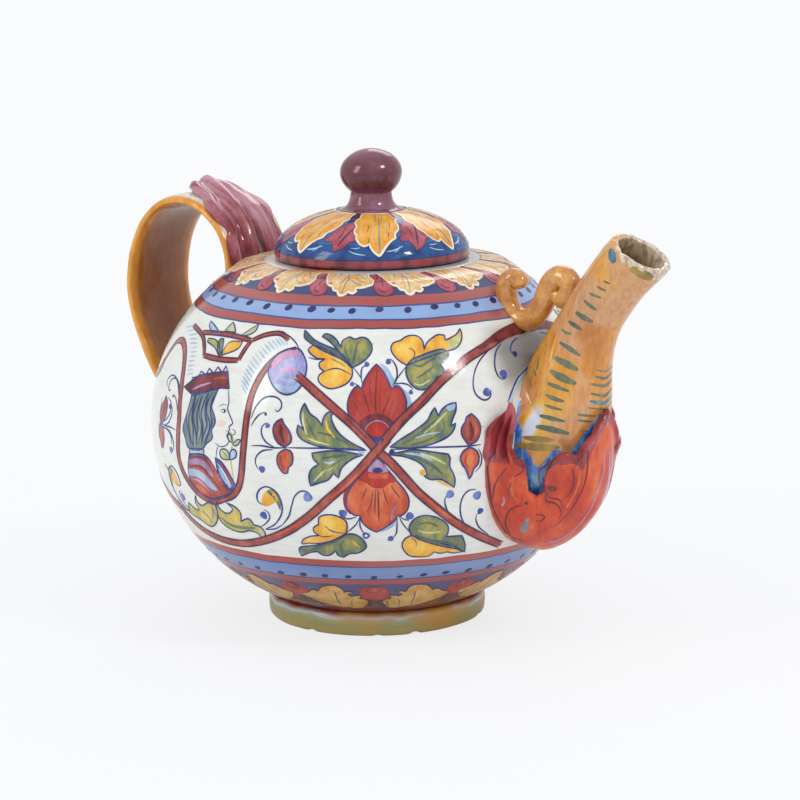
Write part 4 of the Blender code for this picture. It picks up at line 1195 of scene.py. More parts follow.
armShade = [
    ("line", "skyBlue", 1, 1.1, [(-20.8, 13.2), (-20.4, 17.3), (-17.9, 21.1), (-13.8, 24.4),
     (-6.9, 27.5), (1, 31.1)]),
    ("line", "cobalt", 2, 0.65, [(-22.4, 16.1), (-19.1, 20.2), (-15, 23.9), (-8.3, 26.9), (-1.2, 30)]),
    ("area", "wine", 5, 0, [(2.6, 42.4), (-2.1, 43.4), (-8.4, 43), (-15.4, 41.7), (-22.6, 39.3),
     (-29.3, 36.4), (-27.8, 35.5), (-22.8, 37.1), (-18, 37.5), (-12.7, 38.2), (-7.6, 38.7), (-1.7, 38.9)]),
    ("line", "wine", 5, 0.7, [(-64.1, 10.8), (-60.1, 14.6), (-55.7, 18.4), (-51.4, 22.2)]),
    ("line", "plum", 5, 0.4, [(-69.9, 3.6), (-66.2, 7.5), (-62.3, 11.5), (-58.4, 15.2)]),
    ("line", "wine", 5, 0.8, [(-74, -1.5), (-70.3, 2.6), (-66.5, 6.5)]),
    ("line", "wine", 5, 0.6, [(-81.7, 14.6), (-77.9, 11), (-74.5, 7.5)]),
    ("line", "vermilion", 5, 0.8, [(-87.6, -13.3), (-82.9, -9.6), (-78.7, -5.4), (-75, -1.6)]),
    ("line", "vermilion", 5, 0.7, [(-98.3, -22.5), (-104, -26.1), (-110.1, -29.3)]),
    ("line", "vermilion", 4, 0.7, [(-57.8, -10.8), (-53.1, -15.3), (-48.1, -19.8), (-42.2, -24.2)]),
]
upperPalmette = [
    ("area", "paleBlue", 0, 0, [(-69.6, 33), (-66.7, 31.2), (-64.7, 27.6), (-62.7, 25.2), (-60, 22.3),
     (-58.8, 19.2), (-59.3, 16.2), (-61.2, 14.3), (-61.3, 19), (-62.8, 23.1), (-65.5, 24.9),
     (-67.5, 29.1)]),
    ("area", "scarlet", 1, 0.57, [(-70.9, 32.7, 1), (-69.1, 30.9), (-67.5, 28.4), (-66.4, 25.6),
     (-65.6, 24.1, 1), (-63.9, 25), (-62.4, 24), (-61.3, 22), (-60.7, 19.3), (-61.3, 16.3), (-62.9, 13.4),
     (-65.4, 10.5), (-68.2, 7.2), (-71.2, 3.9, 1), (-74.5, 7.3), (-77.9, 11), (-80.1, 14.3), (-81.2, 17.6),
     (-80.9, 21), (-79.6, 23.7), (-78, 25.1), (-76.4, 23.9, 1), (-75.7, 26.4), (-74.1, 29.2),
     (-72.4, 31.3)]),
    ("area", "wine", 2, 0, [(-77.9, 11.3), (-76.2, 14), (-73.8, 15.3), (-71.1, 15.8), (-68.3, 15.2),
     (-66.3, 13.8), (-64.7, 11.5), (-66.8, 9.5), (-68.8, 7.6), (-71.2, 5.3), (-73.5, 7.6), (-75.9, 9.7)]),
    ("area", "crimson", 3, 0, [(-74.7, 9.3, 1), (-74.2, 11.3), (-72.8, 12.5), (-70.9, 12.9),
     (-69.1, 12.4), (-67.6, 11.2), (-66.8, 9.2, 1), (-68.8, 8.4), (-71, 8.1), (-73.2, 8.5)]),
    ("area", "cobalt", 4, 0, [(-73, 7.3), (-72.2, 7.9), (-70.9, 8.1), (-69.5, 7.8), (-68.7, 7.2),
     (-69.5, 6.2), (-70.9, 4.9, 1), (-72.2, 6.3)]),
    ("line", "mauve", 3, 0.35, [(-75.4, 9), (-74.7, 11.3), (-73.1, 12.8), (-70.9, 13.4), (-68.7, 12.7),
     (-67.3, 11.2), (-66.5, 8.8)]),
    ("line", "wine", 2, 0.55, [(-70.8, 30.6), (-71.2, 25.7), (-71.5, 21), (-71.4, 15.6)]),
    ("line", "crimson", 2, 0.9, [(-69.7, 27.8), (-69.9, 21.6), (-70.4, 16.9)]),
    ("line", "wine", 2, 0.5, [(-75.9, 23.4), (-74.8, 20.3), (-73.8, 17), (-73.1, 15)]),
    ("line", "wine", 2, 0.5, [(-66, 23.6), (-67.1, 20.2), (-68.6, 16.9), (-69.4, 14.9)]),
    ("line", "wine", 2, 0.45, [(-79, 19.7), (-77.6, 17.3), (-76.2, 14.7)]),
    ("line", "wine", 2, 0.45, [(-63.3, 19.4), (-64.5, 16.8), (-66, 14.2)]),
    ("line", "wine", 2, 0.4, [(-73.4, 27.1), (-73.4, 23.7), (-73.1, 20.7)]),
    ("line", "wine", 2, 0.4, [(-65.1, 20.1), (-66.2, 17.8), (-67.3, 15.2)]),
    ("line", "cobalt", 2, 0.49, [(-76.6, 27.8), (-78.1, 29.9), (-79.9, 31.8)]),
    ("line", "cobalt", 2, 0.55, [(-76.2, 26.1), (-76.6, 28.9), (-76.3, 31.3), (-74.8, 32.5)]),
    ("dot", "violet", 2, 0.95, [(-74.5, 32.7)]),
    ("line", "cobalt", 2, 0.55, [(-76.4, 24.1), (-77.7, 25.4), (-79.1, 26.1)]),
    ("dot", "violet", 2, 0.8, [(-79.8, 25.8)]),
    ("line", "cobalt", 2, 0.55, [(-65.2, 24.9), (-63.5, 28.3), (-63.5, 31.4), (-64.6, 33.6),
     (-65.7, 34.5)]),
    ("dot", "violet", 2, 1, [(-66.4, 33.5)]),
    ("line", "cobalt", 2, 0.55, [(-64.8, 25.6), (-61.9, 25.8), (-59.4, 25), (-58.1, 23.4)]),
    ("dot", "violet", 2, 0.8, [(-58.9, 22.6)]),
    ("line", "cobalt", 2, 0.49, [(-64.4, 25.9), (-62.8, 28.3), (-59.7, 31.7)]),
]
lowerPalmette = [
    ("area", "crimson", 0, 0, [(-79.8, -5.6), (-82.3, -10.3), (-83.1, -14), (-82.3, -17.7),
     (-80.3, -19.2), (-81.1, -15), (-80.6, -10.3)]),
    ("area", "paleBlue", 0, 0, [(-64.5, -21), (-65.5, -23.8), (-68.4, -25.8), (-70.2, -26.2),
     (-67.7, -23.3), (-66, -20.6)]),
    ("area", "vermilion", 1, 0.57, [(-71.3, 0.9), (-75, -2.8), (-78.1, -6.3), (-80.2, -9.2),
     (-81.7, -12.1), (-82.1, -15.1), (-81.2, -17.7), (-79.6, -19.4), (-77.5, -19.6, 1), (-76.9, -22),
     (-75.2, -24.2), (-73.4, -25.5), (-71.8, -26.3, 1), (-69.8, -25.3), (-67.3, -23.5), (-65.2, -21.6),
     (-64.4, -19.9, 1), (-62.8, -19.9), (-61.1, -18.1), (-60.5, -15.4), (-60.9, -12.8), (-62.6, -9.8),
     (-65, -6.9), (-68, -3)]),
    ("area", "crimson", 2, 0, [(-71.3, 0.9), (-74.7, -2.5), (-77.8, -6), (-74.8, -7.7), (-73.1, -9.2),
     (-71.1, -9.6), (-69.1, -9.3), (-67.4, -7.9), (-64.7, -6.9), (-68, -2.6)]),
    ("area", "mauve", 3, 0, [(-71.3, 0.5), (-73.3, -1.5), (-74.4, -3.5), (-71, -4.1), (-67.7, -3.7),
     (-69, -1.6)]),
    ("area", "cobalt", 4, 0, [(-72.2, -2.4), (-71, -2.2), (-70, -2.5), (-69.4, -3.8), (-71, -4.1),
     (-72.9, -3.8)]),
    ("area", "vermilion", 4, 0, [(-74.2, -4.2, 1), (-71, -4.6), (-67.7, -4.4, 1), (-67.9, -5.9),
     (-71.1, -6.2), (-74.1, -5.8)]),
    ("line", "wine", 2, 0.5, [(-74.8, -9.2), (-75.9, -12.1), (-77, -14.3)]),
    ("line", "wine", 2, 0.5, [(-72.8, -10.3), (-73.2, -13.2), (-73.7, -15.8), (-75, -18.1)]),
    ("line", "wine", 2, 0.55, [(-71.1, -9.9), (-71, -15.1), (-70.9, -22.4)]),
    ("line", "wine", 2, 0.45, [(-71.9, -9.9), (-72.2, -14.3), (-72.2, -18.9)]),
    ("line", "wine", 2, 0.5, [(-69.4, -9.6), (-68.7, -12.5), (-67.7, -15.5)]),
    ("line", "wine", 2, 0.5, [(-66.7, -8.6), (-65.4, -10.8), (-63.6, -13.1)]),
    ("line", "mauve", 2, 0.8, [(-64.3, -15.3), (-66, -18.2), (-66.6, -21.4)]),
    ("line", "cobalt", 2, 0.55, [(-78.5, -20), (-81.4, -21), (-83.5, -20.1), (-84.4, -17.9)]),
    ("dot", "violet", 2, 1.45, [(-83.4, -18.9)]),
    ("line", "cobalt", 2, 0.55, [(-63.9, -19.9), (-62, -21.5), (-60.2, -22)]),
    ("dot", "violet", 2, 1.45, [(-60.1, -20.3)]),
    ("line", "cobalt", 2, 0.55, [(-77.5, -20), (-77.6, -23.6), (-76.8, -26.1), (-75.6, -27.4)]),
    ("dot", "violet", 2, 1.4, [(-75.6, -27.8)]),
    ("dot", "white", 3, 0.5, [(-75.6, -27.8)]),
    ("line", "cobalt", 2, 0.55, [(-64.5, -20.6), (-64.5, -24.3), (-64.7, -27.2), (-66.1, -29.3)]),
    ("dot", "violet", 2, 1.1, [(-66.7, -29.3)]),
]
greenLeaves = [
    ("line", "cobalt", 1, 0.55, [(-74.9, 3.5), (-80.3, 4), (-88.7, 4.1), (-95.7, 3.9), (-101.8, 3.7)]),
    ("line", "cobalt", 1, 0.55, [(-66.2, 3.6), (-56.8, 3.9), (-46.4, 3.5), (-40.6, 3.2), (-35, 3.2)]),
    ("area", "green", 1, 0.57, [(-74.9, 3.6, 1), (-79.6, 6), (-83.3, 8.6), (-85.7, 11.6), (-86.8, 14.9),
     (-85.5, 16.6, 1), (-88.3, 15.9), (-89.6, 13.8), (-89.9, 11.5, 1), (-91.7, 13.9), (-94.3, 15.5),
     (-96.5, 18.9, 1), (-97.6, 16.5), (-97.6, 13.5), (-96.1, 9.9, 1), (-98.4, 11.5, 1), (-98.6, 9.1),
     (-97.1, 7), (-93.9, 5.5), (-88.7, 4.3), (-82, 3.8)]),
    ("line", "darkGreen", 2, 0.9, [(-77.9, 5), (-82.6, 6.6), (-87, 8.5), (-91.2, 9.4)]),
    ("line", "darkGreen", 2, 0.6, [(-91.2, 6.4), (-93.7, 10), (-95.6, 13.9)]),
    ("line", "yellow", 2, 0.9, [(-85.3, 7.6), (-87.8, 10.5), (-88.5, 13.5)]),
    ("line", "paleGreen", 2, 0.8, [(-95, 8.3), (-96.6, 12.5), (-96.8, 15.9)]),
    ("line", "paleGreen", 2, 0.7, [(-87, 5.2), (-91.2, 6.1), (-95, 7.3)]),
    ("area", "green", 1, 0.57, [(-75.9, 1.9, 1), (-82, 3.1), (-87, 3.3), (-93.2, 2.3, 1), (-92.7, 0.3),
     (-90.9, -1.4, 1), (-93.3, -3), (-94.5, -5.7), (-94, -9, 1), (-90.8, -7.8), (-87.9, -6.7),
     (-86, -4.3, 1), (-84.3, -5.9, 1), (-83.4, -2.9), (-81.3, -0.6), (-78.6, 1.1)]),
    ("line", "darkGreen", 2, 0.9, [(-80.3, 2.3), (-85, 1.5), (-89.8, 0.7)]),
    ("line", "paleBlue", 2, 1.1, [(-85.4, -0.2), (-87.4, -0.9), (-89.1, -0.5)]),
    ("line", "paleGreen", 2, 0.9, [(-86.1, -2.3), (-89.9, -4.5), (-92.8, -7.4)]),
    ("line", "darkGreen", 2, 0.6, [(-82, 1.2), (-86.4, -1.9), (-90, -5.2)]),
    ("area", "green", 1, 0.57, [(-66.9, 4.5, 1), (-63.1, 7.1), (-59.3, 9.2), (-56.2, 11.1),
     (-53.6, 13.1), (-52.4, 15.2), (-50.8, 17, 1), (-50.3, 15.4), (-49.9, 13.9, 1), (-48.4, 16.1),
     (-46, 17.6), (-43, 18.1, 1), (-43.3, 15.6), (-44.7, 13), (-45.8, 10.4, 1), (-43.8, 11.2, 1),
     (-45, 8.7), (-47.3, 6.8), (-50.9, 5.4), (-55.4, 4.3), (-60.9, 3.9)]),
    ("area", "paleBlue", 2, 0, [(-46.9, 16.9), (-45.3, 17.6), (-43.4, 17.8), (-43.6, 16.3),
     (-45.6, 15.4)]),
    ("line", "darkGreen", 2, 1.1, [(-62.9, 5.4), (-58, 7.8), (-53.1, 10.9), (-50.1, 13.4)]),
    ("line", "darkGreen", 2, 0.7, [(-60.2, 4.9), (-54, 6.3), (-48.3, 8.9)]),
    ("line", "paleBlue", 3, 0.55, [(-58.4, 7.2), (-53.9, 8.3), (-49.3, 8.7)]),
    ("line", "paleGreen", 2, 0.9, [(-55.3, 8.7), (-50.9, 11.8), (-46.7, 15.2)]),
    ("area", "green", 1, 0.57, [(-68.3, 2.2, 1), (-63.6, 2.7), (-59.2, 3.4), (-55.4, 2.8), (-51, 1.9),
     (-47.1, 1.1, 1), (-46.4, -0.4, 1), (-46.6, -3.1), (-45.3, -5.7), (-44.5, -8.2), (-44.8, -10.7, 1),
     (-47.4, -8.7), (-49.9, -7.4), (-53.1, -7.3), (-55.5, -5.9, 1), (-54.5, -5.5, 1), (-55.2, -3.2),
     (-57.6, -0.8), (-61.9, 1.1), (-65.3, 1.7)]),
    ("line", "darkGreen", 2, 1.1, [(-63.6, 2), (-58.6, 0.8), (-53.4, -1.9), (-48.9, -5.7)]),
    ("line", "paleGreen", 2, 0.9, [(-56.8, 2.1), (-52.1, 0.1), (-47.9, -2.3)]),
    ("line", "paleBlue", 2, 0.8, [(-61.9, 2.3), (-56.8, 1.4), (-52.1, -1)]),
    ("line", "yellow", 2, 1, [(-50.9, -7.8), (-48.1, -9.3), (-45.1, -11)]),
    ("dot", "yellow", 2, 1, [(-56, -4.7)]),
    ("dot", "paleBlue", 2, 1, [(-76.6, 2.6)]),
    ("dot", "cobalt", 2, 0.9, [(-66.3, 3)]),
]
topLeaves = [
    ("area", "yellow", 1, 0.54, [(-80, 31.3, 1), (-79.9, 28.5), (-81.6, 26.1), (-84.4, 24.7),
     (-87.7, 24.1), (-90.7, 25.2), (-92.3, 26.9), (-92.2, 28.6), (-90.4, 30.1, 1), (-92.1, 31.1),
     (-92.7, 32.9), (-90.6, 34.4, 1), (-93.8, 34.6), (-96.4, 36), (-98, 37.6), (-96.6, 39.1, 1),
     (-93.2, 38.7), (-88.1, 36.6), (-83.2, 33.8)]),
    ("area", "green", 1, 0.54, [(-80, 31.5, 1), (-82.4, 33.8), (-84.5, 35.9), (-86.7, 38.4),
     (-89.9, 41), (-93.2, 42.8, 1), (-92.1, 43.8), (-89.9, 43.5), (-87.1, 41.8), (-84.8, 38.8, 1),
     (-84.6, 41.1), (-83.1, 42.2), (-81.5, 42.8), (-79.4, 41.9), (-77.4, 42.6), (-74.9, 42.4),
     (-72.9, 40.3), (-72.5, 37.7), (-74.1, 35.2), (-76.7, 33.1)]),
    ("area", "darkGreen", 2, 0.47, [(-80, 31.7, 1), (-83.6, 34.1), (-88.8, 36.2), (-94, 38.3),
     (-98.2, 40.4), (-100.8, 42.1), (-101.4, 45, 1), (-99.5, 43.7), (-95.8, 41.2), (-91.3, 39.5),
     (-86.2, 37.7), (-82.5, 34.9)]),
    ("line", "darkGreen", 3, 0.8, [(-80.1, 32.7), (-79.1, 36), (-78.8, 39.3), (-77.3, 41.1)]),
    ("line", "darkGreen", 3, 0.7, [(-80.9, 34.1), (-83.1, 37.8), (-82.9, 40.4)]),
    ("line", "cobalt", 3, 0.45, [(-90.4, 29.9), (-87.9, 30.9), (-85.2, 31.1), (-82.6, 30.2),
     (-80.3, 28.9)]),
    ("line", "cobalt", 3, 0.45, [(-97.4, 34.8), (-94.1, 34.2), (-90.6, 34.4)]),
    ("line", "green", 2, 0.6, [(-88.7, 34.8), (-85.4, 33.4), (-82.3, 31.7)]),
    ("area", "yellow", 1, 0.54, [(-59.5, 32, 1), (-62, 33.5), (-64.1, 35.7), (-65.1, 38), (-64.1, 40.2),
     (-60.8, 41.2, 1), (-59, 42.3), (-56.4, 42.9), (-53.6, 42.4), (-51.9, 40.4), (-52, 37.1, 1),
     (-50.4, 39.6), (-47.9, 41.3), (-45, 42.5), (-42.1, 42.1, 1), (-42.4, 40.2, 1), (-39.3, 41.1),
     (-36.6, 42.2), (-34.1, 44.2, 1), (-34.4, 41.5), (-36, 38.9), (-38.9, 36.9), (-43.4, 36.1), (-48.5, 35),
     (-54.3, 33.5)]),
    ("area", "green", 2, 0.54, [(-59.5, 32, 1), (-57.3, 34), (-53.3, 35.3), (-48.6, 36.5), (-44.4, 37),
     (-42.4, 35), (-44.2, 32.9), (-46.4, 31.6), (-45.6, 29.8), (-46.8, 27.8), (-48.8, 27.2, 1),
     (-50.3, 24.9), (-52.7, 23.5), (-55.6, 23.3), (-58, 24.6), (-59.6, 27.1), (-60.1, 29.9)]),
    ("area", "paleGreen", 2, 0, [(-41.9, 38.3), (-38.7, 40.3), (-35.8, 42), (-35.3, 40.8),
     (-37.2, 38.3), (-40.3, 36.6)]),
    ("line", "cobalt", 3, 0.45, [(-58, 38.1), (-56.5, 37.5), (-55.9, 35.8), (-57.3, 34)]),
    ("line", "darkGreen", 3, 1, [(-57.6, 32.3), (-54.6, 31.4), (-51.4, 32.7), (-47, 34.6)]),
    ("line", "darkGreen", 3, 0.9, [(-56.6, 27.3), (-53.5, 28.6), (-49.3, 31.1)]),
    ("line", "paleGreen", 3, 0.8, [(-57.6, 25.6), (-55.1, 24.8), (-51.6, 26.4)]),
]
lowLeaves = [
    ("line", "cobalt", 1, 0.49, [(-77.5, -20), (-79, -23.2), (-82.9, -27)]),
    ("area", "yellow", 1, 0.54, [(-82.9, -27, 1), (-82.2, -24.5), (-82.5, -22), (-84.2, -20.5),
     (-87, -19.6), (-89.9, -19.7), (-92.1, -20.8), (-92.5, -23.6, 1), (-94.5, -24.9), (-94.6, -26.8),
     (-92.7, -28.2, 1), (-96.2, -28.7), (-99.3, -30.2, 1), (-100.5, -32.3), (-97.2, -31.8), (-93.2, -31.6),
     (-88.4, -30.2)]),
    ("line", "cobalt", 2, 0.49, [(-90.3, -23.9), (-88.3, -25.9), (-85.8, -26.6), (-83.2, -26.8)]),
    ("line", "cobalt", 2, 0.45, [(-93.5, -28.3), (-90.5, -28.5), (-87.8, -28)]),
    ("area", "green", 1, 0.54, [(-82.9, -27.4, 1), (-81.1, -27), (-78.6, -27.8), (-76.5, -30),
     (-75.6, -32.7), (-77.1, -34.5), (-79.4, -35.7), (-82.2, -36), (-84.7, -37.8, 1), (-87, -36.9),
     (-87.5, -34.7, 1), (-89.8, -36.8), (-92.7, -37.2), (-94.8, -35.6, 1), (-97.7, -36.1), (-100.6, -37.5),
     (-102, -38.2, 1), (-102.3, -35.3), (-100.9, -33.7), (-96.6, -32.9), (-91.3, -31.7), (-86.5, -29.7)]),
    ("line", "darkGreen", 2, 0.9, [(-83.4, -28.3), (-88.6, -31.1), (-94.4, -33.7), (-100.6, -36.1)]),
    ("line", "darkGreen", 2, 1.2, [(-83.5, -29.6), (-85.3, -32.3), (-84.9, -36.1)]),
    ("line", "yellow", 2, 0.9, [(-80.9, -30), (-79.2, -31.8), (-78.1, -33.1)]),
    ("line", "violet", 2, 1, [(-101.9, -35.2), (-101.8, -37.2)]),
    ("line", "cobalt", 1, 0.49, [(-63.8, -20.3), (-62.3, -23.5), (-59.2, -27.5)]),
    ("area", "yellow", 1, 0.54, [(-59.2, -28.3, 1), (-61.3, -29.5), (-62.3, -32.1), (-61.3, -35),
     (-58.8, -37.6), (-54.6, -38.4), (-51, -38.2), (-49.3, -36.4, 1), (-46.6, -37.4), (-43.8, -37, 1),
     (-41, -37.9), (-36.7, -37.8, 1), (-40.9, -35), (-46.3, -33), (-52.5, -30.6)]),
    ("area", "green", 2, 0.54, [(-59.2, -27.9, 1), (-60.1, -25.3), (-59.5, -22.9), (-57.8, -21.2),
     (-55, -20.4), (-51.6, -21), (-48.6, -22.5), (-46, -24.8), (-45.2, -27.4), (-45.6, -29.9, 1),
     (-42.8, -30), (-39.3, -30.2, 1), (-37.1, -34.1), (-36.1, -38.1, 1), (-40.2, -36.1), (-45.2, -34.5),
     (-50.7, -32.5), (-55.6, -30.3)]),
    ("line", "darkGreen", 3, 1.1, [(-57.7, -28), (-52.5, -30.6), (-46.8, -32), (-40.3, -34.2)]),
    ("line", "darkGreen", 3, 0.8, [(-56.9, -23.9), (-53.3, -23.3), (-49.4, -25.3)]),
    ("line", "paleGreen", 3, 0.8, [(-56.7, -26.4), (-52.9, -27.5), (-48.3, -27.5)]),
    ("line", "cobalt", 2, 0.45, [(-59.1, -29.2), (-57.5, -30.6), (-56.5, -33)]),
]
buds = [
    ("area", "brick", 1, 0.54, [(-103, 3.8, 1), (-105.4, 5), (-107, 7.2), (-107.5, 9.9), (-106.5, 12),
     (-104.4, 13.3, 1), (-103.5, 11.5), (-101.9, 9.9), (-100.7, 7.8), (-100.7, 5.6)]),
    ("line", "wine", 2, 1.7, [(-104.6, 11.4), (-104.4, 8.4), (-103.2, 5.1)]),
    ("line", "green", 2, 0.8, [(-101.7, 8.3), (-101.4, 5.9)]),
    ("area", "vermilion", 1, 0.54, [(-102.8, 3.1, 1), (-105.1, 1.6), (-105.9, -0.9), (-105.2, -3.2),
     (-103.5, -5.2), (-102, -4.9, 1), (-101.7, -3.1), (-100.4, -1.9), (-100, 0.6), (-100.8, 2.6)]),
    ("line", "brick", 2, 1.2, [(-104.3, 0.6), (-104.4, -1.8), (-103.4, -4.1)]),
    ("line", "green", 2, 0.9, [(-101.4, 1.9), (-101.1, -0.2), (-101.5, -1.9)]),
    ("area", "brick", 1, 0.54, [(-39.5, 3.4, 1), (-40.9, 5.3), (-42, 7.4), (-41.7, 9.7), (-40.3, 11.3),
     (-39.7, 12.9), (-37.7, 13.9, 1), (-35.8, 12), (-34.7, 9.4), (-35.2, 6.7), (-36.6, 4.5)]),
    ("line", "wine", 2, 1.6, [(-38.6, 11.1), (-38.1, 8), (-39, 4.8)]),
    ("line", "vermilion", 2, 0.9, [(-36.7, 10.9), (-36.4, 8.2), (-37.5, 5.6)]),
    ("area", "vermilion", 1, 0.54, [(-39.1, 2.7, 1), (-41.4, 1.8), (-42.7, -0.3), (-42.1, -2.8),
     (-40.6, -4.9), (-39.4, -8.2, 1), (-38.5, -7), (-37.8, -4.8), (-36.3, -3.4), (-35.8, -1),
     (-36.9, 1.5)]),
    ("line", "crimson", 2, 1.1, [(-40.3, 0.5), (-41, -1.9), (-39.9, -4.4)]),
    ("line", "cobalt", 2, 0.49, [(-36.1, 2.1), (-34.8, -0.8), (-35.2, -3.9), (-37.2, -6.1)]),
]
tendrils = [
    ("line", "cobalt", 1, 0.59, [(-106.4, -24.6), (-103.4, -21.1), (-101.6, -16.7), (-100.1, -13.2),
     (-97.7, -11.2), (-95.2, -11.5), (-93.9, -13.2)]),
    ("dot", "violet", 1, 1.65, [(-95.4, -13.3)]),
    ("line", "cobalt", 1, 0.59, [(-45.6, -20.8), (-47.2, -17.9), (-47.9, -15.2), (-47.3, -13.4)]),
    ("dot", "violet", 1, 1.5, [(-46.1, -13.1)]),
    ("line", "cobalt", 1, 0.59, [(-38.3, -26.5), (-40.9, -22.5), (-41.9, -18.1), (-41.2, -14.4),
     (-39.1, -12.4), (-36.4, -12.3)]),
    ("dot", "violet", 1, 1.6, [(-35.8, -14.6)]),
    ("line", "cobalt", 1, 0.59, [(-27.5, -31.5), (-32.6, -27.7), (-34.9, -24), (-34.8, -21.7)]),
    ("dot", "violet", 1, 1.2, [(-33.7, -20.8)]),
    ("line", "cobalt", 1, 0.59, [(-24.8, 34.8), (-29.7, 32), (-33.2, 28.4), (-35.1, 24.4), (-35.2, 21),
     (-33.6, 18.8), (-31.4, 17.9), (-29.1, 19), (-28.6, 21.3)]),
    ("dot", "violet", 1, 1.5, [(-30.4, 20.5)]),
    ("line", "cobalt", 1, 0.59, [(-17.5, 36.6), (-21.2, 34.4), (-23.6, 31), (-24.5, 27.5),
     (-23.6, 24.8), (-21.6, 24)]),
    ("dot", "violet", 1, 1.6, [(-21.5, 25.8)]),
    ("line", "cobalt", 1, 0.59, [(-7.8, 37.7), (-11.7, 36.3), (-14.2, 34), (-14.2, 32.1)]),
    ("dot", "cobalt", 1, 1.1, [(-12.9, 32.1)]),
    ("line", "cobalt", 1, 0.55, [(-116.4, 12.5), (-115.3, 16), (-113.3, 18.9), (-110.7, 20.3),
     (-107.5, 20.3), (-105.3, 18.9), (-105.1, 16.8), (-106.5, 15.5), (-107.3, 16.3)]),
    ("line", "cobalt", 1, 0.55, [(-116.2, 9.8), (-114.8, 12.3), (-113, 14.2), (-110.7, 15)]),
    ("dot", "cobalt", 1, 0.5, [(-110.8, 14.3)]),
    ("line", "cobalt", 1, 0.55, [(-106.5, 3.4), (-110, 5), (-111.8, 7.5), (-111.8, 10),
     (-110.3, 11.5)]),
    ("dot", "violet", 1, 0.9, [(-109.7, 10.6)]),
    ("line", "cobalt", 1, 0.55, [(-115.7, 3.3), (-111.5, 3.6), (-106.9, 3.3), (-101.8, 3.7)]),
    ("line", "cobalt", 1, 0.55, [(-107.3, 2.6), (-111.1, 2), (-113.7, -0.2), (-114.2, -2.6),
     (-113.1, -4.6)]),
    ("dot", "violet", 1, 1.2, [(-111.7, -4.5)]),
    ("area", "yellow", 1, 0, [(-113.4, -17.4), (-112.5, -14.3), (-111, -12.3), (-108.9, -11.7),
     (-107.2, -13), (-106.8, -15.6), (-108.5, -16.5), (-111.1, -17.9)]),
    ("area", "green", 1, 0, [(-108.9, -11.4), (-106.8, -13), (-105.7, -15.9), (-106.3, -19),
     (-107.3, -16.4), (-108.5, -14.3), (-110.6, -12.3)]),
    ("line", "cobalt", 2, 0.59, [(-114.2, -27.4), (-109.8, -25), (-106.5, -21.2), (-105.3, -17.4),
     (-106.1, -13.5), (-108.1, -11.3), (-110.8, -10.6), (-113.5, -12), (-114.9, -14.6), (-114.5, -16.8),
     (-113, -17.4)]),
    ("dot", "violet", 1, 1.5, [(-113.5, -21.7)]),
    ("line", "cobalt", 1, 0.55, [(-113, -19.3), (-111.4, -20.3), (-111.2, -22.5), (-113.5, -25),
     (-116.2, -26.8)]),
    ("line", "cobalt", 1, 0.59, [(-114.3, -27.6), (-109.8, -26.7), (-106, -24.4)]),
    ("line", "cobalt", 1, 0.52, [(-167.6, 16.3), (-168.9, 18.6), (-166.3, 20.8), (-162.2, 21),
     (-158.4, 18.9), (-155.6, 15.1)]),
    ("line", "cobalt", 1, 0.52, [(-169.7, 3), (-163.4, 5.6), (-160.3, 8.6), (-160.5, 11.8),
     (-164, 13.3)]),
    ("line", "cobalt", 1, 0.52, [(-169.7, 2.3), (-162.1, 2.3), (-158.6, 0.5), (-158, -2.3)]),
    ("line", "mauve", 1, 0.8, [(-170.3, 12.2), (-170, 7.6), (-169.7, 3), (-169.3, -1.5),
     (-168.7, -5.7)]),
    ("line", "green", 1, 1, [(-168, -11.1), (-164.8, -13), (-162.8, -16)]),
]
acanthus = [
    ("area", "leafGold", 1, 0.57, [(-146.5, -18.8, 1), (-146.6, -21.3), (-144, -22.4),
     (-138.9, -19.9, 1), (-136.8, -19.6), (-135.6, -22.5), (-136.7, -26), (-140.3, -29.6), (-144.5, -31.1),
     (-148.8, -29.6), (-153.2, -28.6), (-157.2, -27.6, 1), (-153.8, -23.2, 1), (-150.2, -24.9),
     (-147.3, -24.7), (-148.3, -22.1)]),
    ("line", "green", 2, 1.2, [(-145.3, -24.7), (-142.7, -26.7), (-141.8, -29)]),
    ("line", "mauve", 2, 1, [(-137.9, -20.9), (-138.4, -24.2), (-140.8, -27.6)]),
    ("area", "leafGold", 1, 0.57, [(-134.5, -19.2, 1), (-133.9, -21.6), (-131.4, -23.2),
     (-128.7, -22.6), (-127, -20.8), (-129.4, -19, 1), (-125.8, -19.8), (-123.7, -22.1), (-124.7, -25.7, 1),
     (-122.1, -24.3), (-120.2, -24), (-118.9, -26.3, 1), (-116.2, -26.8), (-114.9, -29.4),
     (-116.8, -32.3, 1), (-118.5, -29.7), (-122, -29.1), (-126.5, -30.4), (-131, -30.1), (-134.5, -28.5),
     (-136.1, -25.9)]),
    ("line", "green", 2, 1.2, [(-134.6, -25.6), (-130.9, -27.9), (-125, -28.3), (-118.7, -27.5)]),
    ("line", "yellow", 2, 1.3, [(-130.8, -24.2), (-127.6, -24.9), (-125, -23.3)]),
    ("line", "paleBlue", 2, 0.7, [(-118, -28.1), (-116.3, -29.6), (-116.4, -31.4)]),
]
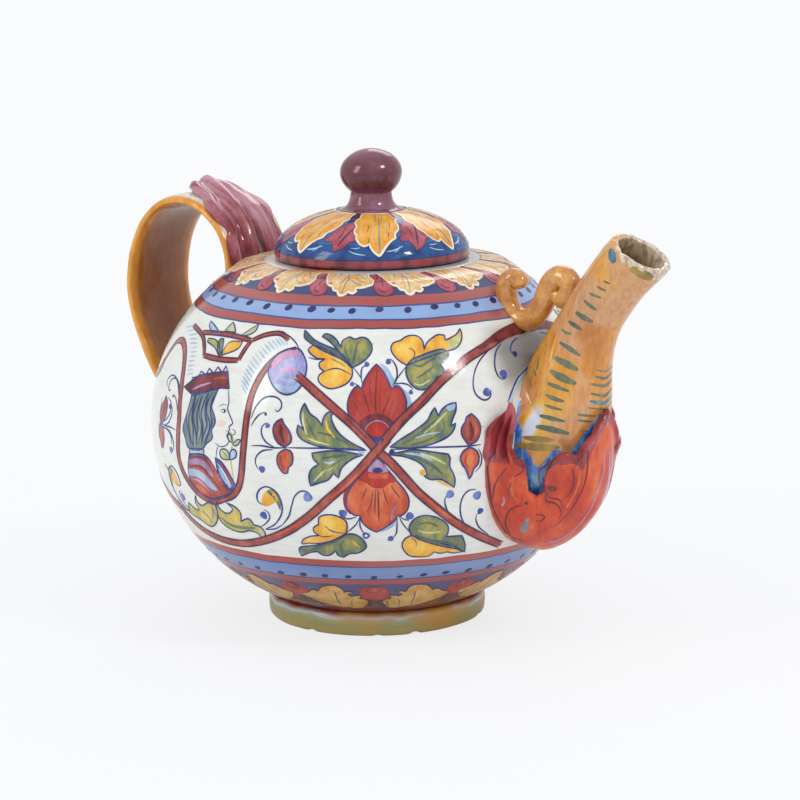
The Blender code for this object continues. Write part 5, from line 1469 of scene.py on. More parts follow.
medallion = [
    ("strap", "brick", 1, 2.1, [(-182.1, 23.7), (-178.8, 28.9), (-175.6, 32.4), (-169.4, 33.2),
     (-163.2, 30.7), (-158.7, 26.1), (-155.6, 19.7), (-154.2, 14.6), (-152.9, 7.8), (-153.1, 0.7),
     (-153.4, -4.7), (-152.6, -8.8), (-150, -13.1), (-145.6, -16.9), (-140.5, -19), (-136.2, -19.5),
     (-131, -17.8), (-125.5, -15.5), (-122.1, -11.9), (-120.4, -7.5), (-119.5, -2.5), (-118.9, 2.8),
     (-118.5, 7.9), (-118.2, 13.4), (-117.8, 18.5), (-116.7, 23.4), (-114.9, 28.1), (-112.2, 32.2),
     (-108.4, 35.4), (-103, 37.5)]),
    ("line", "wine", 3, 0.9, [(-117.6, 5.6), (-117.5, 11), (-117.1, 17.2)]),
    ("strap", "brick", 2, 1.5, [(-157, 38.7), (-148.9, 39.6), (-139.6, 40.1), (-131, 39.9),
     (-124.6, 39.2)]),
    ("strap", "brick", 2, 1.5, [(-124.6, 39.2), (-126.1, 36.2), (-127.4, 31.6)]),
    ("strap", "brick", 2, 1.6, [(-127.4, 31.6), (-134.6, 31), (-141.6, 30.9), (-147.6, 31.1)]),
    ("strap", "brick", 2, 1.2, [(-147.3, 31.1), (-150.5, 34.8), (-156.1, 38), (-168.5, 40.2)]),
    ("strap", "brick", 1, 1.5, [(-124.6, 39.2), (-120.2, 41.5), (-115.4, 42.8), (-111.5, 42.9),
     (-107.1, 41)]),
    ("line", "cobalt", 2, 0.55, [(-111.8, 43.5), (-107.5, 42.2), (-103.6, 39.7), (-101.6, 37.2)]),
    ("area", "leafGold", 2, 0.47, [(-138.7, 32.2, 1), (-143, 34.7), (-149, 36), (-149.6, 37.3, 1),
     (-144.6, 37.4), (-140.3, 35.4)]),
    ("area", "green", 2, 0.47, [(-138.7, 32.2, 1), (-141.5, 35.2), (-142.3, 37.8), (-140, 38.3),
     (-138.3, 35.2), (-137.6, 32.3, 1)]),
    ("area", "yellow", 2, 0.47, [(-137.1, 32.4, 1), (-136.9, 35.8), (-134.8, 37.9), (-128.9, 38.4, 1),
     (-129.6, 35.8), (-132.9, 34)]),
    ("area", "paleBlue", 2, 0.47, [(-149.7, 39.7, 1), (-154.5, 41.9), (-155.6, 43.6, 1), (-150.5, 42.4),
     (-144.5, 40.3, 1)]),
    ("area", "paleGreen", 2, 0.47, [(-141.9, 41.2, 1), (-141, 43.2), (-139.9, 45.1, 1), (-137.4, 43.6),
     (-135, 41.4, 1)]),
    ("area", "paleGreen", 2, 0.47, [(-131.3, 40.4, 1), (-128.5, 42.9), (-124.7, 45.7, 1), (-124.7, 43),
     (-127.4, 41.2)]),
    ("area", "lilac", 1, 0.57, [(-112.5, 28.6), (-112, 32.9), (-109.5, 36), (-105.2, 37.8),
     (-101.7, 37.6), (-99.1, 35.1), (-97.5, 32), (-97.4, 28.1), (-98.5, 24.6), (-100.4, 22.5),
     (-103.4, 21.4), (-106.6, 22.1), (-109.9, 24.6)]),
    ("area", "rose", 2, 0, [(-112, 31.5), (-110.3, 34.5), (-106.6, 36.8), (-102.4, 37), (-100.4, 35.4),
     (-104.9, 35), (-108.1, 33), (-110.2, 29.8)]),
    ("line", "rose", 2, 1.2, [(-108.8, 28.9), (-105.3, 30.2), (-101.2, 29.9)]),
    ("line", "paleBlue", 2, 2.2, [(-109, 24.7), (-105.2, 23.2), (-101, 23.8), (-98.7, 26.3)]),
    ("line", "paleBlue", 2, 1.6, [(-107.1, 26.9), (-102.9, 26.1), (-99.7, 28)]),
]
hatchInner = [
    ("line", "mist", 1, 0.9, [(-119.7, 19.7), (-119.4, 23.8), (-118.5, 28.1), (-116.7, 32.2),
     (-113.9, 35.9), (-110.3, 38.4), (-106.5, 39.2)]),
]
hatchOuter = [
    ("line", "mist", 1, 0.9, [(-123, 22.8), (-123, 26.7), (-122.3, 30.6), (-120.8, 35), (-117.9, 38.4),
     (-114, 40.8), (-109.7, 41.9)]),
]
hatchLeftInner = [
    ("line", "mist", 1, 0.8, [(-177.8, 38.3), (-167.3, 36.3), (-161, 33.3), (-157.3, 29.7),
     (-155.2, 25.9), (-153.5, 22.5)]),
]
hatchLeftOuter = [
    ("line", "mist", 1, 0.8, [(-170.2, 40.4), (-160.6, 37.7), (-155.5, 34.1), (-152.9, 30.7),
     (-151.2, 26.8), (-150, 23.4)]),
]
bust = [
    ("area", "blueHair", 1, 0.47, [(-147.1, 17.8, 1), (-140.7, 18.5), (-136.2, 19.9), (-133.2, 20.6, 1),
     (-134.2, 17.1), (-134.8, 14.2), (-133, 11.7), (-132.1, 9.1), (-133.6, 6.5), (-133, 3.8), (-136.2, 1.3),
     (-137.9, -0.5), (-141.8, -1.6), (-146.5, -1.3), (-148, 1.6), (-149.8, 4.8), (-148.4, 9.2),
     (-147.3, 13.9)]),
    ("area", "wine", 2, 0.54, [(-153.2, 18.8, 1), (-150, 21), (-146.6, 23.5), (-141.2, 25.1),
     (-135.5, 26.4), (-130.8, 27.1, 1), (-128, 21.4, 1), (-131.9, 21.2), (-136.2, 20.1), (-141.2, 18.4),
     (-146.1, 16.8, 1)]),
    ("line", "mauve", 3, 0.9, [(-147.5, 18.6), (-142.7, 20.7), (-137.6, 22.4)]),
    ("line", "brick", 3, 1, [(-137.1, 23.7), (-133.7, 24.6), (-130.1, 24.9)]),
    ("line", "cobalt", 2, 0.52, [(-149.5, 21.3, 1), (-149.6, 22.7, 1), (-145.8, 23.3, 1),
     (-145.5, 25.5, 1), (-141.9, 24.7, 1), (-141.1, 27.1, 1), (-137.7, 25.6, 1), (-136.7, 28.2, 1),
     (-133.4, 26.4, 1), (-132.7, 29, 1), (-130.7, 26.9)]),
    ("area", "skyBlue", 1, 0.41, [(-145.3, -1.5, 1), (-140.6, -0.8), (-137.3, -0.8, 1),
     (-137.5, -2.6, 1), (-141.3, -2.8), (-145.9, -3.9, 1)]),
    ("area", "brick", 1, 0.54, [(-145.9, -3.7, 1), (-140.2, -2.6), (-136.4, -2.9), (-134.1, -4.5),
     (-132.1, -6.9), (-130, -9.9), (-127.1, -12.4), (-125.3, -14.4, 1), (-129.7, -16.9), (-135.9, -18.6),
     (-140.2, -18.2), (-144.1, -16.2), (-147.4, -13.4), (-147.6, -9, 1)]),
    ("area", "mauve", 2, 0, [(-145.8, -5.5), (-141, -4.5), (-137.2, -5), (-134.9, -7), (-133.3, -9.6),
     (-135.1, -9.5), (-137.1, -7.5), (-140.7, -6.4), (-146.2, -7.4)]),
    ("area", "paleBlue", 2, 0, [(-147, -9.1), (-141.7, -8.6), (-138, -9.6), (-134.9, -12.1),
     (-132.5, -14.7), (-136.1, -14.5), (-139.3, -12.4), (-142.9, -11.2), (-147.1, -11.7)]),
    ("line", "mauve", 2, 0.9, [(-146.4, -12.5), (-142.2, -12.5), (-138.7, -14.2), (-135.6, -16.3)]),
    ("line", "vermilion", 2, 2, [(-144.8, -14.8), (-140.9, -15.7), (-137, -17.3)]),
    ("line", "vermilion", 2, 1.5, [(-135.5, -4), (-133.7, -5.7), (-131.7, -8.7), (-129, -12.3)]),
    ("line", "wine", 3, 0.6, [(-145.7, -7.8), (-140.8, -7.2), (-137.2, -8.2), (-134.1, -10.8),
     (-131, -14.4)]),
    ("line", "cobalt", 2, 0.59, [(-145.7, -4.8), (-140.3, -3.7), (-136.6, -4), (-134.2, -5.8),
     (-131.7, -9), (-129, -12.3), (-127.1, -14.2)]),
    ("area", "violet", 1, 0.54, [(-131.7, -2.8, 1), (-129.1, -3.7), (-126.6, -6.2), (-124.7, -9.1),
     (-123.2, -12, 1), (-126, -13.5), (-128.4, -11.8), (-130.7, -8.5)]),
    ("area", "paleBlue", 2, 0, [(-130.6, -6.4), (-128.9, -6.3), (-126.9, -8.7), (-125.5, -12),
     (-126.8, -12.7), (-128.8, -10.1)]),
    ("line", "brick", 2, 1.2, [(-130.1, -4.2), (-127.5, -6.5), (-125.7, -9.3), (-124.3, -12)]),
    ("line", "white", 3, 0.4, [(-130.9, -4.6), (-128.7, -6.6), (-126.7, -9.8), (-125.5, -12.4)]),
    ("line", "leafGold", 2, 0.5, [(-125.1, 7.2), (-123.7, 5.6), (-123.6, 2.9), (-124.6, -0.3),
     (-124.4, -4.8), (-123.9, -9.8)]),
    ("line", "cobalt", 2, 0.39, [(-123.9, 8), (-122.7, 7.5), (-122.9, 6.3), (-124, 6)]),
    ("area", "paleGreen", 2, 0.46, [(-123.7, 3.3, 1), (-125.4, 4.2), (-126.2, 5.5), (-125.6, 6.6, 1),
     (-124.2, 5.6)]),
    ("area", "paleGreen", 2, 0.46, [(-123.4, 2.9, 1), (-121.9, 4.6), (-120.2, 4.8, 1), (-121.1, 3.2),
     (-122.6, 2.4)]),
    ("area", "paleGreen", 2, 0.46, [(-125.1, -2.6, 1), (-128.1, -2.7), (-129.4, -1.4), (-128.9, 0.4),
     (-126.8, 0.8), (-125.2, -0.4)]),
    ("area", "skyBlue", 2, 0.46, [(-124.7, -2.6, 1), (-124.6, 0.1), (-123, 1.3), (-121.9, 0.2),
     (-122.4, -1.6)]),
    ("line", "cobalt", 3, 0.39, [(-128, -0.2), (-126.6, -1.1), (-125.3, -2.5)]),
]
hairLeft = [
    ("line", "cobalt", 2, 0.65, [(-147.3, 16.7), (-147.6, 12.8), (-148.6, 8.5), (-147.4, 4.5),
     (-146.1, 1.2), (-144.7, -1)]),
]
hairRight = [
    ("line", "cobalt", 2, 0.65, [(-133.6, 20.1), (-134.9, 16.6), (-134.5, 12.9), (-132.6, 9.4),
     (-134, 5.7), (-136.2, 1.6)]),
]
face = [
    ("line", "cobalt", 2, 0.38, [(-128.3, 20.9), (-127.3, 18.2), (-126.9, 16.2), (-127.1, 14.6),
     (-125.7, 12.6), (-124.2, 10.5), (-124, 9.9, 1), (-125.1, 9), (-125.6, 8.6), (-125.1, 7.8, 1),
     (-125.6, 7.1), (-125.2, 6.4), (-125.8, 5.4), (-125.2, 3.9), (-126.3, 2.3), (-129.1, 1.4),
     (-131.5, 2.3)]),
    ("line", "cobalt", 2, 0.34, [(-130.2, 13.6), (-128.9, 14.3), (-127.5, 14)]),
    ("line", "cobalt", 2, 0.26, [(-129.7, 13.1), (-128.5, 13.1), (-127.6, 13.5)]),
    ("dot", "cobalt", 2, 0.42, [(-128.3, 13.7)]),
    ("line", "blueHair", 2, 0.4, [(-131.3, 14.9), (-129.6, 15.8), (-127.5, 15.8)]),
    ("line", "mauve", 2, 0.28, [(-125.4, 9.7), (-124.9, 9.2)]),
    ("line", "crimson", 2, 0.4, [(-126.8, 7), (-126, 7.2), (-125.5, 7.2)]),
    ("area", "blush", 0, 0, [(-131, 9.6), (-129.4, 10.6), (-127.5, 10.3), (-127.2, 9), (-129.1, 8.1),
     (-131.1, 8.4)]),
    ("line", "cobalt", 2, 0.36, [(-130.3, 1.3), (-130.9, -0.4), (-131.3, -2.7)]),
]
shoulderLeaf = [
    ("area", "gold/ivory", 3, 0.9, [(-17.9, 76.3, 1), (-12.9, 67.4), (-10.8, 65.1), (-8, 64.3, 1),
     (-7, 62.6), (-4.7, 62.2, 1), (-3.9, 60.7), (-2.2, 60), (-0.2, 60.7), (0.9, 61.9, 1), (3.7, 61.1),
     (5.6, 62.2, 1), (5, 63.7), (8.7, 63.9), (14.1, 65.4, 1), (14.7, 68.3), (11.8, 72.6), (11.8, 76.3, 1)]),
    ("line", "greyBlue", 4, 0.8, [(-2.4, 76.3), (-0.7, 70.6), (-1.5, 63.9), (-2.1, 60.7)]),
    ("line", "greyBlue", 4, 0.5, [(-7.5, 76.3), (-6.7, 73.8), (-8.8, 69.1)]),
    ("line", "greyBlue", 4, 0.5, [(-1.9, 74.1), (-3.3, 67.8), (-6.2, 64.8)]),
    ("line", "greyBlue", 4, 0.5, [(2.2, 76.3), (6.4, 73.2), (10.9, 68.9)]),
    ("line", "greyBlue", 4, 0.5, [(0.5, 69.7), (4.6, 66.2), (8.4, 65.3)]),
    ("line", "amber", 4, 1, [(-12.4, 76.3), (-11.2, 72.8), (-11.1, 67.6)]),
    ("line", "amber", 4, 1, [(-2.5, 72), (-3.7, 65.9), (-3.9, 62.9)]),
    ("line", "amber", 4, 1, [(2.6, 75.6), (5.4, 69.1), (10.5, 66.2)]),
]
shoulderPalmette = [
    ("area", "ruby/plum", 1, 0.35, [(-2.8, 76.3, 1), (-1.3, 73.8), (-2.2, 69), (-3.8, 65.5),
     (-3.5, 62.8), (-0.8, 60.3), (3, 59.8), (6.2, 60.8), (7.1, 63), (5.7, 65.2), (4.4, 68.4), (6.1, 73.4),
     (9.7, 76.3, 1)]),
    ("line", "plum", 2, 0.9, [(2.6, 76.3), (1.3, 70), (1.1, 64.4)]),
    ("line", "plum", 2, 0.6, [(-1.4, 63.8), (0.3, 62), (3, 61.7)]),
]
lidLeaf = [
    ("area", "amber/ivory", 3, 0.75, [(-11.4, 30.4, 1), (-10.3, 25.2, 1), (-11.8, 23.8),
     (-11.9, 21.6, 1), (-10, 19), (-10.5, 17.1), (-9.9, 14.9, 1), (-8.9, 14.1), (-8.7, 12.3), (-7.1, 9.9),
     (-5, 8.8), (-3.3, 9.8, 1), (-2.6, 7.9), (-1.1, 6), (0.3, 5.1, 1), (1.3, 6.1), (3, 8.5), (5.2, 10.8),
     (7.5, 12.2, 1), (8, 14.5), (10.6, 16.8), (11.9, 19.8, 1), (11.9, 22.4), (13.9, 23.9, 1), (12.9, 26.5),
     (13.4, 29.9, 1)]),
    ("line", "greyBlue", 4, 0.7, [(3.6, 30.4), (1.6, 19.8), (0.7, 12.1), (0.5, 5.9)]),
    ("line", "wine", 4, 0.5, [(-3.9, 20), (-4.2, 15.7)]),
    ("line", "wine", 4, 0.5, [(-3.4, 12.8), (-3.7, 10.3)]),
    ("line", "wine", 4, 0.5, [(7.8, 22.4), (6.6, 17.8)]),
    ("line", "wine", 4, 0.5, [(5.3, 15.4), (4.5, 12.6)]),
    ("line", "gold", 4, 0.9, [(-1.3, 24.1), (-2.3, 16.5), (-1.9, 10.3)]),
    ("line", "gold", 4, 0.9, [(5.4, 24.9), (4.2, 17.1), (2.5, 10.8)]),
    ("line", "wine", 4, 0.45, [(0.5, 29.1), (-0.1, 22.9)]),
    ("line", "wine", 4, 0.45, [(5.6, 28.7), (4, 23.8)]),
    ("line", "gold", 4, 0.7, [(-8.6, 23), (-8.1, 18.2), (-6.7, 12.8)]),
]
lidPalmette = [
    ("area", "ruby/plum", 1, 0.3, [(12.8, 28.2, 1), (4.8, 25.4), (1.5, 22.2), (-2.5, 19.1),
     (-4.7, 16.5, 1), (-4.5, 14.3), (-6.4, 12), (-6, 10.5, 1), (-3.4, 10.4), (-2.2, 9), (-1.2, 6.4, 1),
     (1, 7.2), (3.1, 8.5), (4.6, 10.5, 1), (7.9, 11.5), (9.6, 12.8, 1), (9.3, 15.4), (12.2, 18.1, 1),
     (10.4, 20), (11, 22.6), (17.6, 26.7, 1)]),
    ("line", "plum", 2, 0.8, [(11.3, 25.1), (4.9, 18.2), (1.6, 12.3), (0.1, 8.7)]),
    ("line", "plum", 2, 0.5, [(0, 18.8), (-0.1, 14.6), (-1, 11.2)]),
    ("line", "plum", 2, 0.5, [(6.7, 18), (4.5, 14.1), (6, 12.4)]),
]
lidScroll = [
    ("line", "skyBlue", 1, 0.5, [(-10.9, 7), (-8.1, 5.9), (-4.7, 5.4)]),
    ("line", "skyBlue", 1, 0.45, [(-10.3, 8.1), (-8.3, 7.9), (-6.7, 8.3)]),
    ("line", "skyBlue", 1, 0.55, [(3, 6.6), (6, 7.1), (9.5, 8.5)]),
    ("line", "skyBlue", 1, 0.45, [(5.8, 6.2), (7.7, 7.5), (8.3, 8.7)]),
    ("line", "deepBlue", 1, 1.2, [(-11.9, 4.5), (-7.1, 4.4), (-2.4, 4.3)]),
    ("line", "deepBlue", 1, 1.2, [(2.3, 4.2), (7.1, 4.7), (11.2, 5.4)]),
]
lowerLeaf = [
    ("area", "ochre/plum", 1, 0.3, [(-18, -62.8, 1), (-12.9, -61), (-8.8, -58.5), (-6.5, -59.3, 1),
     (-2.7, -55.7), (1, -54.4), (4.5, -54.6), (6.6, -56.5), (7.3, -59.1, 1), (10.2, -58.4),
     (12.1, -58.9, 1), (8.9, -60.7), (10.3, -62.4, 1), (15, -61.3), (14.2, -64.1, 1), (18.4, -65.4),
     (18.2, -69), (15.1, -73.3), (10.2, -74.7), (5.9, -73.8), (0.3, -73.5), (-5.6, -71.7), (-11, -69.4),
     (-15.5, -66.3)]),
    ("line", "cobalt", 2, 0.59, [(2.7, -59.2), (1.8, -64.3), (1.4, -71.6)]),
    ("line", "cobalt", 2, 0.52, [(11.1, -64.6), (8.9, -67.8), (8.6, -72.7)]),
    ("line", "amber", 2, 1, [(-5.2, -59.1), (-4.3, -63.3), (-4.4, -67.7)]),
    ("line", "gold", 2, 1.1, [(1, -57.2), (0.9, -61.3), (0.1, -66.1)]),
    ("line", "amber", 2, 0.9, [(5.7, -62.4), (7.1, -65.8), (7.4, -69.4)]),
    ("line", "gold", 2, 0.8, [(-13, -62.8), (-10, -62.9), (-8.5, -65.5)]),
]
lowerPalmetteRed = [
    ("area", "scarlet", 0, 0, [(-7.6, -56.4), (-4.8, -55.4), (-0.7, -53.9), (3.1, -55.2), (6.2, -57.7),
     (7.3, -62.2), (5.7, -65.6), (1.3, -66.1), (-3.2, -65.1), (-6.5, -63.5), (-8, -60.5)]),
    ("area", "brick/plum", 1, 0.3, [(-3.9, -57.7), (-2.6, -55.6), (-0.7, -54.8), (1.3, -55.7),
     (2.5, -57.8), (1.3, -59.4), (-0.8, -58.8), (-2.8, -59.3)]),
    ("area", "plum", 1, 0, [(-3.3, -65.4), (1.3, -65.1), (6.1, -66.4), (7.8, -70.6), (7, -75.1),
     (1.3, -76.3), (-3.2, -74.2), (-4.4, -69)]),
]
spoutDashesAndGlint = [
    ("line", "teal", 1, 0.88, [(-18.6, 91.8), (-15.8, 92.2)]),
    ("line", "teal", 1, 0.97, [(-19.3, 89.4), (-15.5, 89.8)]),
    ("line", "teal", 1, 1.1, [(-20.2, 86.2), (-15.2, 87.4)]),
    ("line", "teal", 1, 1.5, [(-20.5, 83.4), (-13.9, 83.4)]),
    ("line", "teal", 1, 1.8, [(-20.8, 78.6), (-16.8, 79), (-12.7, 79.4)]),
    ("line", "teal", 1, 1.8, [(-21.5, 74.6), (-18, 75), (-14.9, 75)]),
    ("line", "teal", 1, 1.1, [(-22.4, 71), (-20.2, 71), (-17.7, 71.8)]),
    ("line", "teal", 1, 1.9, [(-20.5, 67), (-16.1, 67), (-11.4, 66.2)]),
    ("line", "teal", 1, 2.6, [(-19.9, 61.4), (-15.5, 61.4), (-10.8, 60.6)]),
    ("line", "teal", 1, 2.6, [(-19, 56.6), (-14.9, 55.8), (-10.2, 55)]),
    ("line", "teal", 1, 2.1, [(-18.3, 51.8), (-15.2, 51.8), (-11.7, 51.4)]),
    ("line", "teal", 1, 2.1, [(-17.7, 47.4), (-14.9, 47), (-12.4, 47)]),
    ("line", "teal", 1, 2, [(-17.1, 43.4), (-14.9, 43.4), (-12.4, 43.4)]),
    ("line", "teal", 1, 2.2, [(-17.7, 38.6), (-14.6, 39), (-11.1, 39)]),
    ("line", "teal", 1, 2.6, [(-17.7, 34.2), (-13.6, 34.6), (-9.5, 34.2)]),
    ("line", "umber", 1, 2.6, [(-19.3, 29), (-16.4, 29.8), (-13, 30.6)]),
    ("line", "umber", 1, 2.6, [(-20.2, 25), (-15.8, 27), (-11.1, 28.2)]),
    ("line", "teal", 1, 0.79, [(-4.5, 61.8), (0.8, 60.6)]),
    ("line", "teal", 1, 1.1, [(-4.5, 59), (1.8, 57.4)]),
    ("line", "teal", 1, 1.3, [(-5.8, 55.8), (1.8, 54.2)]),
    ("line", "teal", 1, 1.5, [(-5.4, 51.8), (1.5, 49.8)]),
    ("line", "petrol", 1, 2, [(-5.4, 48.6), (1.2, 46.6)]),
    ("line", "teal", 1, 0.88, [(-5.8, 45.8), (0.8, 44.2)]),
    ("line", "teal", 1, 1.3, [(-8.3, 42.6), (-2.9, 42.2)]),
    ("line", "teal", 1, 1.4, [(-8, 40.2), (-3.9, 39.8)]),
    ("line", "teal", 1, 1.1, [(-7, 35.8), (-4.5, 35.8)]),
    ("line", "teal", 1, 1.2, [(-25.9, 57.8), (-24.3, 55.4), (-24, 53.8)]),
    ("line", "teal", 1, 1.1, [(-25.6, 53.4), (-23, 51.8)]),
    ("line", "teal", 1, 1.1, [(-25.9, 49.4), (-23, 47.4)]),
    ("line", "teal", 1, 1.1, [(-31.2, 43.8), (-24.9, 41.4)]),
    ("line", "petrol", 2, 2.4, [(-25.9, 99), (-22.7, 98.6), (-19.9, 97.8)]),
    ("line", "umber", 1, 2.6, [(-14.2, 99), (-10.2, 99), (-3.9, 98.2)]),
    # a painted highlight: this yellow stroke stands for a glint of light on the spout
    ("line", "yellow", 1, 0.9, [(-23.4, 68.2), (-21.8, 63.8), (-20.2, 59)]),
]
calyxFrontLines = [
    ("line", "mauve", 1, 0.6, [(-1.5, 3.2), (-1.5, -2.2), (-2.2, -6.8), (-2.8, -12), (-3.3, -17.8),
     (-5.5, -23.2), (-11.1, -27.5), (-22, -29.2)]),
    ("line", "wine", 1, 0.55, [(-21.8, 2.2), (-22.9, 0), (-25.1, -2.2), (-25.1, -5.8), (-22.9, -8.8),
     (-22.9, -12), (-19, -13.5), (-16.4, -17), (-17.5, -19)]),
    ("line", "wine", 1, 0.5, [(-22.9, -6.2), (-23.3, -8.5), (-21.4, -11), (-17.9, -12.2),
     (-15.3, -15.8)]),
    ("area", "wine", 2, 0, [(-22.7, -7), (-20.7, -7), (-19, -8), (-19.6, -8.8), (-21.2, -8.8),
     (-22.5, -8)]),
    ("line", "wine", 1, 0.45, [(-14.4, -0.8), (-13.1, -4.5), (-13.3, -8.5), (-15.1, -11.5)]),
    ("line", "wine", 1, 0.5, [(-8.7, 4), (-7.9, -1.2), (-8.7, -7.2), (-10.9, -13), (-14, -18),
     (-18.8, -22)]),
    ("line", "vermilion", 1, 1.2, [(-11.6, -1.8), (-10.9, -6), (-12.2, -10.5), (-14.6, -14.8)]),
    ("line", "wine", 1, 0.5, [(-27.1, -17.8), (-25.3, -17), (-23.3, -18.2), (-25.5, -20),
     (-27.1, -19.5)]),
]
calyxSideLines = [
    ("line", "plum", 1, 0.6, [(-38, 5.5), (-39.3, 2.5), (-39.3, -2), (-39.3, -7.5), (-39.9, -13.2),
     (-40.1, -20), (-39.9, -25.5), (-36.4, -28.8)]),
    ("line", "wine", 1, 0.5, [(-34.5, -0.5), (-36.4, -3.2), (-38, -6.8), (-39.1, -11.5)]),
    ("line", "wine", 1, 0.5, [(-31.6, -13.5), (-34.5, -14.8), (-36.9, -17.8), (-38.6, -21.8),
     (-39.1, -25.5)]),
    ("line", "wine", 1, 0.45, [(-29, 0.2), (-30.5, -2), (-32.7, -3.5), (-34, -6.8), (-34.9, -9.8)]),
    ("area", "greyBlue", 1, 0, [(-32.7, -21.2), (-29.7, -18), (-30.3, -21.2), (-32.1, -24),
     (-33.6, -24), (-33.6, -22)]),
    ("line", "mauve", 1, 0.8, [(-36.2, -10.5), (-36.2, -12.2), (-37.3, -14)]),
    ("dot", "wine", 1, 0.6, [(-29.7, -12.8)]),
    ("line", "vermilion", 1, 1.1, [(-32.1, -2), (-33.6, -6), (-33.4, -9.8), (-32.5, -11.8)]),
]


def ruled(near, far, count, waves=0.0, across=False):
    # strokes between two edge lines: from one to the other, or side by side along them
    kind, colour, coat, size, nearKeys = near[0]
    farKeys = far[0][4]
    rows = []
    for i in range(count):
        share = (i + 0.5) / count
        if across:
            spot = share * (len(nearKeys) - 1)
            k, part = int(spot), spot % 1
            keys = [tuple(a + (b - a) * part for a, b in zip(edge[k], edge[k + 1]))
                    for edge in (nearKeys, farKeys)]
        else:
            keys = [(a + (c - a) * share + waves * math.sin(5 * j + 2.4 * i), b + (d - b) * share)
                    for j, ((a, b), (c, d)) in enumerate(zip(nearKeys, farKeys))]
        rows.append((kind, colour, coat, size * (0.8 + 0.4 * (i * 7 % 5) / 4), keys))
    return rows


hatching = ruled(hatchInner, hatchOuter, 17, across=True)
hatching += ruled(hatchLeftInner, hatchLeftOuter, 12, across=True)
strands = ruled(hairLeft, hairRight, 10, 0.45)
paleStrands = [("line", "greyBlue", 1, 0.45, row[4]) for row in ruled(hairLeft, hairRight, 5, 0.6)]
# under the handle the straps cross once more; both end where the painted side leaves off
backStraps = [
    ("strap", "brick", 3, 2.6, [(-182.1, 23.7), (-184.5, 20.4), (-190.5, 17.4), (-204, 16.6), (-220, 15.8),
     (-236, 11.6), (-251.3, 3.9)]),
    ("strap", "brick", 3, 2.8, [(-164.7, -27.3), (-176, -24.4), (-190, -21), (-206, -16.5), (-222, -11),
     (-237, -4.2), (-251.3, 3.9)])]
# the crossing's and the shield's own middle, metres round from the spout
crossAt, flankAt = -0.0709, -0.1354
flank = [row for row in buds + tendrils if all(-121 < key[0] < -96 for key in row[4])]
for mirror in (1, -1):
    for rows in (crossedStraps, armShade, upperPalmette, lowerPalmette, greenLeaves, topLeaves, lowLeaves,
                 buds, tendrils, acanthus, medallion, hatching, bust, strands, paleStrands, face, backStraps):
        layMotif(rows, onBody, mirror=mirror)
    layMotif(flank, onBody, -2 * flankAt, -mirror)
backTurn = -math.pi * paint["round"]
sprigs = [row for row in topLeaves + lowLeaves if all(key[0] < crossAt * 1000 - 2 for key in row[4])]
for rows in (upperPalmette, lowerPalmette, greenLeaves, topLeaves, lowLeaves):
    layMotif(rows, onBody, backTurn - crossAt)
for mirror in (1, -1):
    layMotif(buds[6:], onBody, backTurn - crossAt, mirror)
    layMotif(sprigs, onBody, backTurn * 0.47, mirror)

# round the shoulder, under the belly and on the lid one leaf is drawn and repeated
rings = {"shoulderTurn": -61.7, "shoulderCount": 14, "lidTurn": -47.8, "lidCount": 7, "lowerStart": -68.5,
         "lowerNext": -35.9, "lowerCount": 12, "upperDots": 53.6, "lowerDots": -48.6,
         "upperDot": (1.95, 1.25), "lowerDot": (1.65, 1.0)}
upperDotAngles = [-98.6, -90.1, -81.2, -72.5, -65.6, -58.5, -49.3, -39.8, -30.3, -21.8, -14.4]
lowerDotAngles = [-92.2, -83.2, -75.1, -67.8, -60.4, -52.4, -44.3, -36.8, -29.5, -21.4, -13.3]


def turnBy(degrees, around):
    return math.radians(degrees) * around


for i in range(rings["shoulderCount"]):
    angle = rings["shoulderTurn"] + 360 * i / rings["shoulderCount"]
    layMotif(shoulderLeaf, onBody, turnBy(angle, paint["round"]))
    layMotif(shoulderPalmette, onBody, turnBy(angle + 13.3, paint["round"]))
for i in range(rings["lidCount"]):
    angle = rings["lidTurn"] + 360 * i / rings["lidCount"]
    layMotif(lidLeaf, onLid, turnBy(angle, paint["lidRound"]), body="lid")
    layMotif(lidScroll, onLid, turnBy(angle, paint["lidRound"]), body="lid")
    layMotif(lidPalmette, onLid, turnBy(angle + 25.8, paint["lidRound"]), body="lid")
lowerStep = (360 - (rings["lowerNext"] - rings["lowerStart"])) / (rings["lowerCount"] - 1)
for i in range(rings["lowerCount"]):
    angle = rings["lowerStart"] if i == 0 else rings["lowerNext"] + lowerStep * (i - 1)
    mirror = 1 if i % 2 == 0 else -1
    layMotif(lowerLeaf, onBody, turnBy(angle, paint["round"]) * mirror, mirror=mirror)
    layMotif(lowerPalmetteRed, onBody, turnBy(angle + 16.3, paint["round"]))
for arc, angles, size in ((rings["upperDots"], upperDotAngles, rings["upperDot"]),
                          (rings["lowerDots"], lowerDotAngles, rings["lowerDot"])):
    gap = (angles[-1] - angles[0]) / (len(angles) - 1)
    count = round((360 - angles[-1] + angles[0]) / gap)
    rest = [angles[-1] + (360 - angles[-1] + angles[0]) * i / count for i in range(1, count)]
    for angle in angles + rest:
        wide, high = size[0] * (1 + 0.1 * math.sin(7 * angle)), size[1] * (1 + 0.12 * math.sin(5 * angle))
        level = arc + 0.3 * math.sin(angle)
        keys = [(wide * math.cos(a) + 0.3 * high * math.sin(a), level + high * math.sin(a))
                for a in (math.radians(45) * i for i in range(8))]
        layMotif([("area", "night", 1, 0, keys)], onBody, turnBy(angle, paint["round"]))

# strokes on the modelled parts are cast onto them from outside


def formOf(piece):
    shape = piece.data
    return BVHTree.FromPolygons([p.co for p in shape.vertices], [f.vertices for f in shape.polygons])


spoutForm = formOf(spoutTube)
calyxForms = [formOf(leaf) for leaf in calyxLeaves]
cast = {"spoutRound": 0.012, "calyxRound": 0.025, "stand": 0.014}


